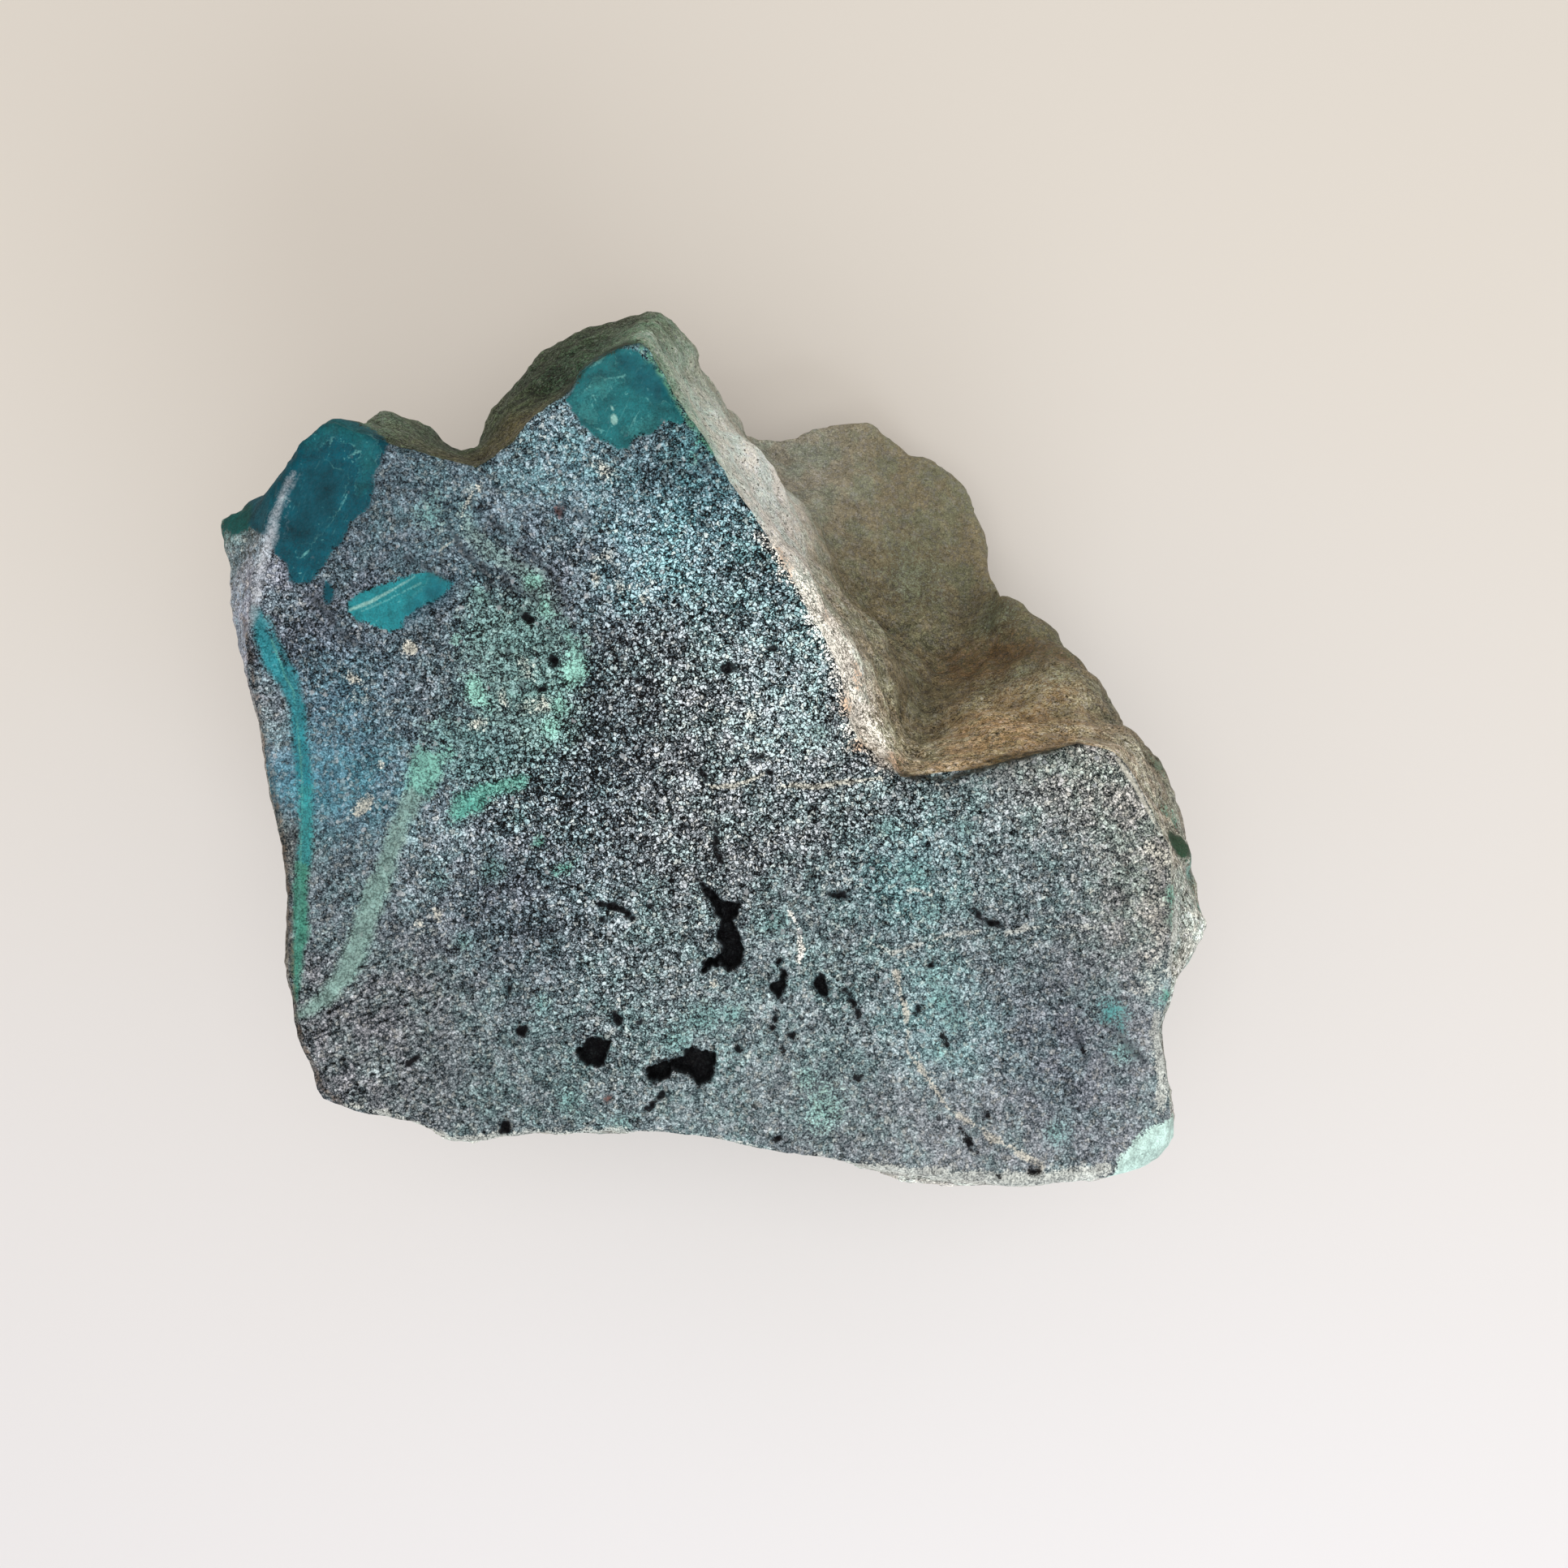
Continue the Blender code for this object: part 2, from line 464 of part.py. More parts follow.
def main():
    for obj in list(bpy.data.objects):
        bpy.data.objects.remove(obj, do_unlink=True)
    parts = new_collection("stone")
    cutters = new_collection("pit cutters")
    stone = stone_mesh(parts)
    stone.data.materials.append(stone_material())
    for name, (depth, outline) in PITS.items():
        cut = stone.modifiers.new(name, "BOOLEAN")
        cut.operation = "DIFFERENCE"
        cut.solver = "EXACT"
        cut.object = pit_cutter(name, depth, outline, cutters)


main()
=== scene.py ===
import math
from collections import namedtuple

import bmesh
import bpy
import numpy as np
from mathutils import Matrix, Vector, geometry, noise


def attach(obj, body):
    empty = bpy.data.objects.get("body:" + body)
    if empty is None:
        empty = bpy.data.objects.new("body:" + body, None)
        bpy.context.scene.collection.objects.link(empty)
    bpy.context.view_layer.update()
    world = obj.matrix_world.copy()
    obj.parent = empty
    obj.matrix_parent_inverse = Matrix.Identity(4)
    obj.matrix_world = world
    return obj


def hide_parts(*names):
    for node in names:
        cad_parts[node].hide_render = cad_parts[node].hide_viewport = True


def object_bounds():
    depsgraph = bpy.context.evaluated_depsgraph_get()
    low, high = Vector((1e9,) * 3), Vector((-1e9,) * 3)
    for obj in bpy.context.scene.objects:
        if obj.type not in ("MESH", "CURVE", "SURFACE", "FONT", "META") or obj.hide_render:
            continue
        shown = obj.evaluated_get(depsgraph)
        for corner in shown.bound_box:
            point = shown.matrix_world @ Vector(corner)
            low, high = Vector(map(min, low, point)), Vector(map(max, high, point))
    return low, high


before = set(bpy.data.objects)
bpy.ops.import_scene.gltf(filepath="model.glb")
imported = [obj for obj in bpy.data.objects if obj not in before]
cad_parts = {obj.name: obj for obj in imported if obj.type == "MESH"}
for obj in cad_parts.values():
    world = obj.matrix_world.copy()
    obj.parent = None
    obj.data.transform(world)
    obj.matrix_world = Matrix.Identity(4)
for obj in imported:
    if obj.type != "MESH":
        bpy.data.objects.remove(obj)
cad_low, cad_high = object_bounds()

# The looks of the chrysocolla specimen: a rock with a flat sawn face, fractured sides and a broken-away
# corner. The stone's mesh is grown from the CAD solid: its sides are remeshed and roughened, and the sawn
# face is a fresh level sheet of fine triangles with pits and chipped edges. Every mesh point then carries
# what the rock is made of there, and one material turns that into colour, grain, gloss and relief.
# Markings, places and mesh sizes are in millimetres in the CAD frame; meshes, lights and the camera are
# in metres.

MM = 0.001
SAWN_HEIGHT = cad_high.z / MM
SEED = 7
FAR = 6.0               # markings further off than this are left out of account


# --- Colours ---

def srgb(red, green, blue):
    """A colour given as 0 to 255 values, as the linear values that Blender takes."""
    shares = (value / 255 for value in (red, green, blue))
    return tuple(s / 12.92 if s <= 0.04045 else ((s + 0.055) / 1.055) ** 2.4 for s in shares)


# Glassy teal minerals, and the darker and lighter places in them
DEEP_TEAL = srgb(3, 74, 89)
LOBE_DARK = srgb(14, 62, 74)
LOBE_LIGHT = srgb(36, 108, 110)
FACET_TEAL = srgb(20, 80, 78)
KNOB_GREEN = srgb(46, 72, 54)
BRIGHT_TEAL = srgb(30, 122, 132)
DEEP_BLUE = srgb(14, 84, 104)
PEAK_TEAL = srgb(26, 98, 104)
PEAK_BLUE = srgb(10, 66, 84)
PEAK_LIGHT = srgb(72, 148, 148)

# Green and mint veins and patches
VEIN_TEAL = srgb(28, 122, 134)
VEIN_MIDDLE = srgb(38, 128, 132)
VEIN_GREEN = srgb(58, 132, 114)
VEIN_LIGHT = srgb(92, 160, 150)
VEIN_MINT = srgb(106, 158, 148)
PALE_GREEN = srgb(126, 158, 152)
PATCH_GREEN = srgb(84, 156, 144)
SWIRL_GREEN = srgb(124, 168, 162)
SWIRL_GREY = srgb(116, 142, 140)
SPOT_TEAL = srgb(74, 134, 136)
SEA_TINT = srgb(98, 146, 144)
EDGE_GREEN = srgb(88, 140, 118)
MINT = srgb(146, 202, 190)
PALE_MINT = srgb(192, 222, 216)
FOAM = srgb(140, 184, 178)
FROST = srgb(112, 178, 176)

# Pale threads, bits and rims
CREAM = srgb(198, 197, 186)
BUFF_CREAM = srgb(184, 181, 171)
CRUMB_CREAM = srgb(250, 247, 240)
RIM_GREY = srgb(184, 188, 184)
WHITE = srgb(196, 202, 208)
LILAC = srgb(184, 190, 200)

# Rusty, brown and dark places
RUST = srgb(92, 48, 38)
ORANGE = srgb(186, 146, 108)
SLOPE_ORANGE = srgb(168, 131, 90)
BROWN = srgb(96, 78, 60)
# painted shade along the crease below the shelf
CREASE_SHADE_BROWN = srgb(98, 70, 44)
SLOPE_GREEN = srgb(106, 120, 102)
BACK_GREEN = srgb(44, 56, 46)
DARK_MOSS = srgb(70, 70, 50)
DARK_OLIVE = srgb(40, 38, 26)
SHADE = srgb(40, 46, 52)
# Painted shade: the pits' insides are painted this near black for the shade in them; the small dark voids
# take it too
PIT_BLACK = srgb(14, 12, 16)

# What the rock's own hue is multiplied by
DUSKY = (1.03, 0.98, 1.0)           # where the sawn face leans to violet
SEA_GREEN = (0.92, 1.03, 1.01)      # where the rock leans to blue-green
STAIN_BROWN = (1.03, 0.99, 0.95)    # where the sides are stained brown
SHADOW_TEAL = (0.84, 1.0, 1.10)     # in the dark gaps between the grains of the sawn face
YELLOWISH = (1.04, 1.0, 0.90)       # in some of its grains
BLUISH = (0.98, 0.99, 1.10)         # and in some others


# --- Shapes of markings ---
# Each is a function from points, as rows of (x, y, depth below the sawn face), to the signed distance
# from its edge, less than zero inside.

VEIN_DIP = (0.25, -0.15)        # how far veins and patches wander sideways as they go down
CLOSING = 0.12                  # how fast they close with depth


def sunk(points):
    """Where the points' veins and patches come out on the sawn face."""
    return points[:, :2] + points[:, 2:3] * np.array(VEIN_DIP)


def segment_reach(at, a, b):
    """Each place's distance from a segment, and its share of the way along it."""
    a, b = np.array(a[:2], float), np.array(b[:2], float)
    run = b - a
    share = np.clip((at - a) @ run / (run @ run), 0, 1)
    return np.linalg.norm(at - a - share[:, None] * run, axis=1), share


def outline_reach(at, outline):
    """Each place's signed distance from a closed outline."""
    nearest = np.full(len(at), np.inf)
    inside = np.zeros(len(at), bool)
    for a, b in zip(outline, outline[1:] + outline[:1]):
        nearest = np.minimum(nearest, segment_reach(at, a, b)[0])
        spans = (a[1] > at[:, 1]) != (b[1] > at[:, 1])
        if a[1] != b[1]:
            crossing = a[0] + (at[:, 1] - a[1]) / (b[1] - a[1]) * (b[0] - a[0])
            inside ^= spans & (at[:, 0] < crossing)
    return np.where(inside, -nearest, nearest)


def nearest_of(reaches):
    """The smallest of several signed distances, point by point."""
    return np.min(list(reaches), axis=0)


def patch(*outline):
    """The inside of a closed outline."""
    return lambda points: outline_reach(sunk(points), list(outline)) + points[:, 2] * CLOSING


def band(half_width, *line):
    """A strip along a line. A point of the line may give its own half width as a third number."""
    widths = [point[2] if len(point) == 3 else half_width for point in line]
    runs = list(zip(line, line[1:], widths, widths[1:]))

    def run_reach(at, a, b, start, end):
        away, share = segment_reach(at, a, b)
        return away - start - (end - start) * share

    def reach(points):
        at = sunk(points)
        return nearest_of(run_reach(at, *run) for run in runs) + points[:, 2] * CLOSING
    return reach


def spots(*places):
    """Spots: x, y and radius, and for an oval its length over its width and its turn in degrees."""
    def spot_reach(at, x, y, radius, longer=1.0, turn=0.0):
        away = at - (x, y)
        cos, sin = math.cos(math.radians(turn)), math.sin(math.radians(turn))
        along = (away[:, 0] * cos + away[:, 1] * sin) / longer
        across = away[:, 1] * cos - away[:, 0] * sin
        return np.hypot(along, across) - radius

    def reach(points):
        at = sunk(points)
        return nearest_of(spot_reach(at, *place) for place in places) + points[:, 2] * CLOSING
    return reach


def crusts(*places):
    """Patches on the natural sides: x, y, height and radius."""
    def reach(points):
        return nearest_of(np.linalg.norm(points - (x, y, SAWN_HEIGHT - height), axis=1) - radius
                          for x, y, height, radius in places)
    return reach


# --- Where the markings and regions are ---

# How a kind of marking ends and how much of the rock's grain shows in it: half the width of its soft edge,
# how far the edge wanders, how much it covers, and the share of the grain
KINDS = {
    "glassy": (0.09, 0.34, 1.00, 0.16),
    "vein": (0.20, 0.40, 0.90, 0.32),
    "soft_vein": (0.30, 0.55, 0.84, 0.36),
    "mottled": (0.30, 0.90, 0.74, 0.95),
    "milky": (0.35, 0.80, 0.94, 0.54),
    "glaze": (0.12, 0.45, 0.96, 0.20),
    "cloud": (0.90, 2.20, 0.46, 1.00),
    "stain": (1.00, 1.80, 0.46, 1.00),
    "chalky": (0.12, 0.50, 0.85, 0.46),
    "thread": (0.08, 0.34, 0.80, 0.50),
    "hair": (0.06, 0.06, 0.80, 0.12),
    "seam": (0.16, 0.30, 0.80, 0.60),
    "haze": (0.40, 0.60, 0.62, 0.50),
    "sheen": (0.28, 0.20, 0.74, 0.25),
    "skin": (0.12, 0.36, 0.95, 0.30),
    "glow": (0.70, 0.80, 0.55, 0.10),
    "tint": (0.50, 1.10, 0.60, 0.90),
    "crumbs": (0.30, 1.30, 0.88, 1.00),
}

THIN_KINDS = ("thread", "hair")     # too thin for the sawn face's even scatter of points

# Patches and veins of the copper minerals
MINERALS = {
    "lobe_teal": ("glassy", DEEP_TEAL, patch(
        (-26.6, 21.4), (-25.3, 20.8), (-24.0, 19.9), (-23.0, 19.0), (-23.5, 17.7), (-24.0, 16.6),
        (-24.1, 15.6), (-24.3, 14.4), (-25.1, 13.8), (-25.7, 13.0), (-26.1, 12.1), (-26.7, 11.5),
        (-27.3, 10.7), (-27.8, 9.9), (-28.2, 9.3), (-29.1, 9.1), (-29.7, 9.3), (-30.0, 10.7),
        (-30.8, 11.3), (-31.2, 12.4), (-32.4, 12.8), (-35.0, 13.0), (-34.0, 15.8), (-31.6, 18.0),
        (-29.0, 20.4))),
    "teal_tail": ("glassy", DEEP_TEAL, patch(
        (-27.2, 9.4), (-26.7, 8.6), (-26.8, 7.9), (-27.2, 7.6), (-27.5, 8.3))),
    "bright_teal": ("glassy", BRIGHT_TEAL, patch(
        (-25.8, 7.9), (-24.6, 8.7), (-23.2, 9.2), (-21.4, 9.8), (-20.3, 10.0), (-19.3, 9.6), (-18.4, 9.2),
        (-19.2, 8.4), (-20.3, 7.8), (-21.4, 7.2), (-21.9, 6.8), (-22.1, 6.2), (-23.0, 5.8), (-23.9, 6.2),
        (-25.1, 6.7), (-25.8, 7.3))),
    "peak_teal": ("glassy", PEAK_TEAL, patch(
        (-11.0, 21.7), (-10.4, 22.4), (-10.1, 23.4), (-9.8, 24.3), (-8.8, 25.0), (-7.3, 25.4),
        (-6.1, 25.2), (-5.0, 24.3), (-4.1, 23.0), (-3.2, 21.3), (-2.7, 20.3), (-3.2, 20.0), (-4.0, 20.2),
        (-4.6, 19.9), (-5.6, 19.3), (-6.2, 19.3), (-6.6, 18.5), (-7.3, 18.3), (-7.9, 18.7), (-8.6, 19.1),
        (-9.4, 19.7), (-10.0, 20.4), (-10.6, 21.2))),
    "west_vein": ("vein", VEIN_TEAL, band(
        0.5, (-32.1, 7.4, 0.3), (-31.7, 5.8, 0.55), (-30.9, 3.9, 0.65), (-29.9, 2.5, 0.6),
        (-29.3, 0.9, 0.55), (-29.1, -0.5), (-28.9, -2.6), (-28.7, -4.6))),
    "west_vein_middle": ("vein", VEIN_MIDDLE, band(0.5, (-28.7, -4.8), (-28.6, -8.6), (-28.8, -9.8))),
    "west_vein_low": ("vein", VEIN_GREEN, band(
        0.48, (-28.9, -10.0), (-29.0, -12.1), (-29.0, -14.7), (-29.3, -17.2, 0.35), (-29.4, -19.4, 0.1))),
    "west_vein_stem": ("vein", VEIN_TEAL, band(
        0.16, (-31.3, 6.8), (-30.3, 4.4), (-29.4, 3.0), (-29.0, 1.4))),
    "green_vein": ("soft_vein", PALE_GREEN, band(
        0.8, (-18.7, -1.6, 0.6), (-19.9, -2.8, 0.7), (-21.0, -4.6, 0.66), (-21.9, -6.6, 0.6),
        (-22.6, -8.3, 0.6), (-23.3, -10.6, 0.66), (-24.4, -13.4), (-25.1, -15.6), (-26.0, -17.5, 0.7),
        (-27.2, -19.1, 0.5), (-28.2, -19.8, 0.4), (-29.1, -20.3, 0.25))),
    "green_vein_top": ("milky", VEIN_MINT, patch(
        (-21.0, -1.9), (-18.7, -2.2), (-19.0, -3.6), (-20.0, -5.0), (-21.6, -6.0), (-21.9, -4.4))),
    "mint_patch": ("milky", PATCH_GREEN, patch(
        (-18.9, -7.2), (-18.3, -5.2), (-16.8, -4.5), (-15.2, -4.3), (-13.4, -3.9), (-13.7, -4.4),
        (-15.4, -5.1), (-16.3, -5.8), (-17.1, -6.6), (-18.2, -7.1))),
    "swirl": ("mottled", SWIRL_GREY, band(
        0.5, (-18.0, 14.4, 0.2), (-17.6, 13.2), (-17.0, 12.2, 0.6), (-16.0, 11.3), (-15.0, 10.7, 0.4),
        (-13.9, 10.1, 0.6), (-13.1, 9.3, 0.8), (-12.6, 8.5, 0.8), (-12.1, 7.6, 0.7), (-11.7, 6.9, 0.3))),
    "swirl_west": ("mottled", SWIRL_GREEN, band(
        0.4, (-16.9, 8.5), (-16.1, 7.6, 0.6), (-16.2, 6.9), (-16.6, 5.8, 0.5), (-16.5, 4.8),
        (-16.0, 4.0, 0.5), (-16.7, 3.0), (-16.9, 2.2))),
    "swirl_east": ("milky", SWIRL_GREEN, band(
        0.6, (-11.2, 6.3, 0.3), (-10.6, 5.0), (-10.4, 4.0, 0.8), (-10.5, 3.0, 0.9), (-10.9, 2.1),
        (-11.5, 1.2), (-11.5, 0.2, 0.8), (-11.6, -0.8, 0.8), (-11.3, -1.6, 0.4))),
    "swirl_cloud": ("cloud", SWIRL_GREEN, patch(
        (-17.4, 8.2), (-15.6, 8.4), (-13.0, 8.2), (-11.0, 6.4), (-9.8, 4.2), (-9.9, 1.2), (-10.9, -1.9),
        (-13.3, -2.8), (-15.4, -1.6), (-17.3, 0.9), (-17.8, 4.0))),
    "swirl_foot": ("cloud", SEA_TINT, patch(
        (-20.4, -0.6), (-17.0, 0.4), (-13.6, -1.6), (-12.4, -3.4), (-15.4, -4.0), (-18.0, -4.4),
        (-20.2, -3.6))),
    "mint_flecks": ("chalky", FOAM, spots(
        (-18.3, 5.4, 0.3), (-13.45, 5.1, 0.2, 1.3, 90), (-9.6, 5.4, 0.22, 1.7, -35), (-16.7, 5.8, 0.3),
        (-12.2, 8.0, 0.16, 2.0, 60), (-19.9, -3.4, 0.2), (-16.2, 7.3, 0.2), (-20.0, -0.4, 0.16))),
    "sea_tints": ("tint", SEA_TINT, spots(
        (-20.2, 13.9, 0.7), (-19.9, 14.8, 0.4), (12.9, -10.6, 0.8), (11.1, -7.6, 0.6), (14.1, -13.2, 0.6),
        (16.3, -7.4, 0.5), (14.7, -19.3, 0.8), (15.6, -20.7, 0.7), (14.2, -17.9, 0.4), (3.5, -14.0, 0.8),
        (-1.5, -20.4, 0.9), (-12.5, -19.4, 0.5), (6.5, -0.8, 0.4), (22.6, -28.3, 0.6), (14.6, -22.8, 0.3),
        (-3.5, -22.0, 0.8), (0.5, -20.2, 0.7), (-16.0, -10.4, 0.5), (-14.2, -6.8, 0.3),
        (-19.4, -11.0, 0.5), (-18.0, -15.2, 0.4), (-7.0, -28.0, 0.6), (-10.8, -26.2, 0.5),
        (27.2, -22.9, 0.5))),
    "south_mint": ("tint", SWIRL_GREEN, spots((6.7, -26.6, 0.9, 1.8, 75), (5.6, -24.6, 0.5))),
    "teal_specks": ("mottled", VEIN_GREEN, spots(
        (-12.7, -8.5, 0.2), (-11.2, -10.3, 0.16, 2.5, 35), (-1.6, 19.0, 0.36), (-2.3, 17.6, 0.2))),
    "bulge_specks": ("mottled", VEIN_GREEN, spots(
        (30.6, -12.3, 0.5, 1.4, 90), (30.6, -13.8, 0.3, 1.6, 90), (30.0, -19.2, 0.4))),
    "east_spot": ("milky", SPOT_TEAL, spots((26.4, -20.1, 0.7, 1.6, -15), (27.0, -21.0, 0.35))),
    "corner_mint": ("glaze", PALE_MINT, patch(
        (26.3, -31.6), (26.9, -30.0), (27.9, -28.9), (29.0, -27.9), (30.1, -27.5), (31.6, -27.4),
        (32.5, -29.6), (30.0, -32.6), (27.2, -33.4))),
    "tip_facet": ("glassy", FACET_TEAL, crusts(
        (-33.8, 14.6, 37.0, 1.9), (-35.0, 13.2, 35.5, 1.2), (-32.4, 16.0, 37.6, 1.8),
        (-30.9, 17.3, 38.0, 1.8), (-29.4, 18.6, 38.0, 1.8), (-27.9, 19.9, 38.2, 1.7))),
    "crumb_rim": ("crumbs", CRUMB_CREAM, band(
        0.8, (2.6, 12.4, 0.1), (4.7, 9.8, 0.35), (6.3, 8.0, 0.9), (7.3, 6.3, 1.1), (8.4, 4.0, 1.1),
        (9.2, 1.5, 1.3), (10.1, -0.9, 1.4), (10.8, -2.1, 1.0), (11.7, -3.2, 0.5))),
    "bulge_crusts": ("milky", VEIN_LIGHT, crusts(
        (33.6, -11.6, 35.8, 0.7), (33.9, -13.8, 35.0, 0.5), (34.0, -15.6, 34.6, 0.5),
        (32.8, -17.4, 36.0, 0.5))),
    "east_knob": ("glassy", KNOB_GREEN, crusts((32.0, -8.9, 35.4, 1.1), (32.6, -9.9, 34.2, 1.2))),
    "east_crusts": ("mottled", VEIN_GREEN, crusts(
        (32.6, -6.6, 34.0, 0.7), (31.8, -3.0, 31.0, 0.7), (33.4, -18.4, 24.0, 1.6),
        (33.2, -20.4, 21.0, 1.8), (32.6, -24.0, 16.0, 2.0), (31.4, -26.6, 12.0, 1.6),
        (30.8, -19.4, 37.4, 0.6), (33.6, -14.6, 34.6, 0.6), (32.2, -12.8, 20.0, 1.0))),
    "west_crusts": ("mottled", VEIN_TEAL, crusts(
        (-33.2, 6.4, 37.4, 0.6), (-33.2, 3.4, 25.0, 2.2), (-33.4, 1.2, 21.0, 2.2),
        (-31.6, -5.0, 16.0, 2.6), (-30.4, -18.0, 30.0, 1.8), (-30.0, -12.0, 33.0, 1.2),
        (-27.4, -14.0, 8.0, 2.4))),
    "south_crusts": ("mottled", VEIN_TEAL, crusts(
        (-16.0, -29.4, 25.0, 2.2), (-12.6, -29.0, 21.0, 2.4), (6.0, -30.6, 19.0, 2.8),
        (10.6, -30.8, 15.0, 2.6), (2.0, -29.8, 32.0, 1.2), (22.0, -32.6, 28.0, 1.8),
        (20.0, -32.4, 24.4, 1.6))),
    "north_crusts": ("mottled", VEIN_GREEN, crusts(
        (-12.6, 29.0, 21.0, 1.4), (-14.6, 27.6, 19.0, 1.2), (-19.6, 22.4, 15.0, 1.6),
        (-22.0, 21.8, 14.0, 1.6), (-27.4, 20.4, 21.0, 1.4), (-26.0, 21.0, 17.6, 1.5),
        (-28.8, 18.6, 24.4, 1.2))),
}

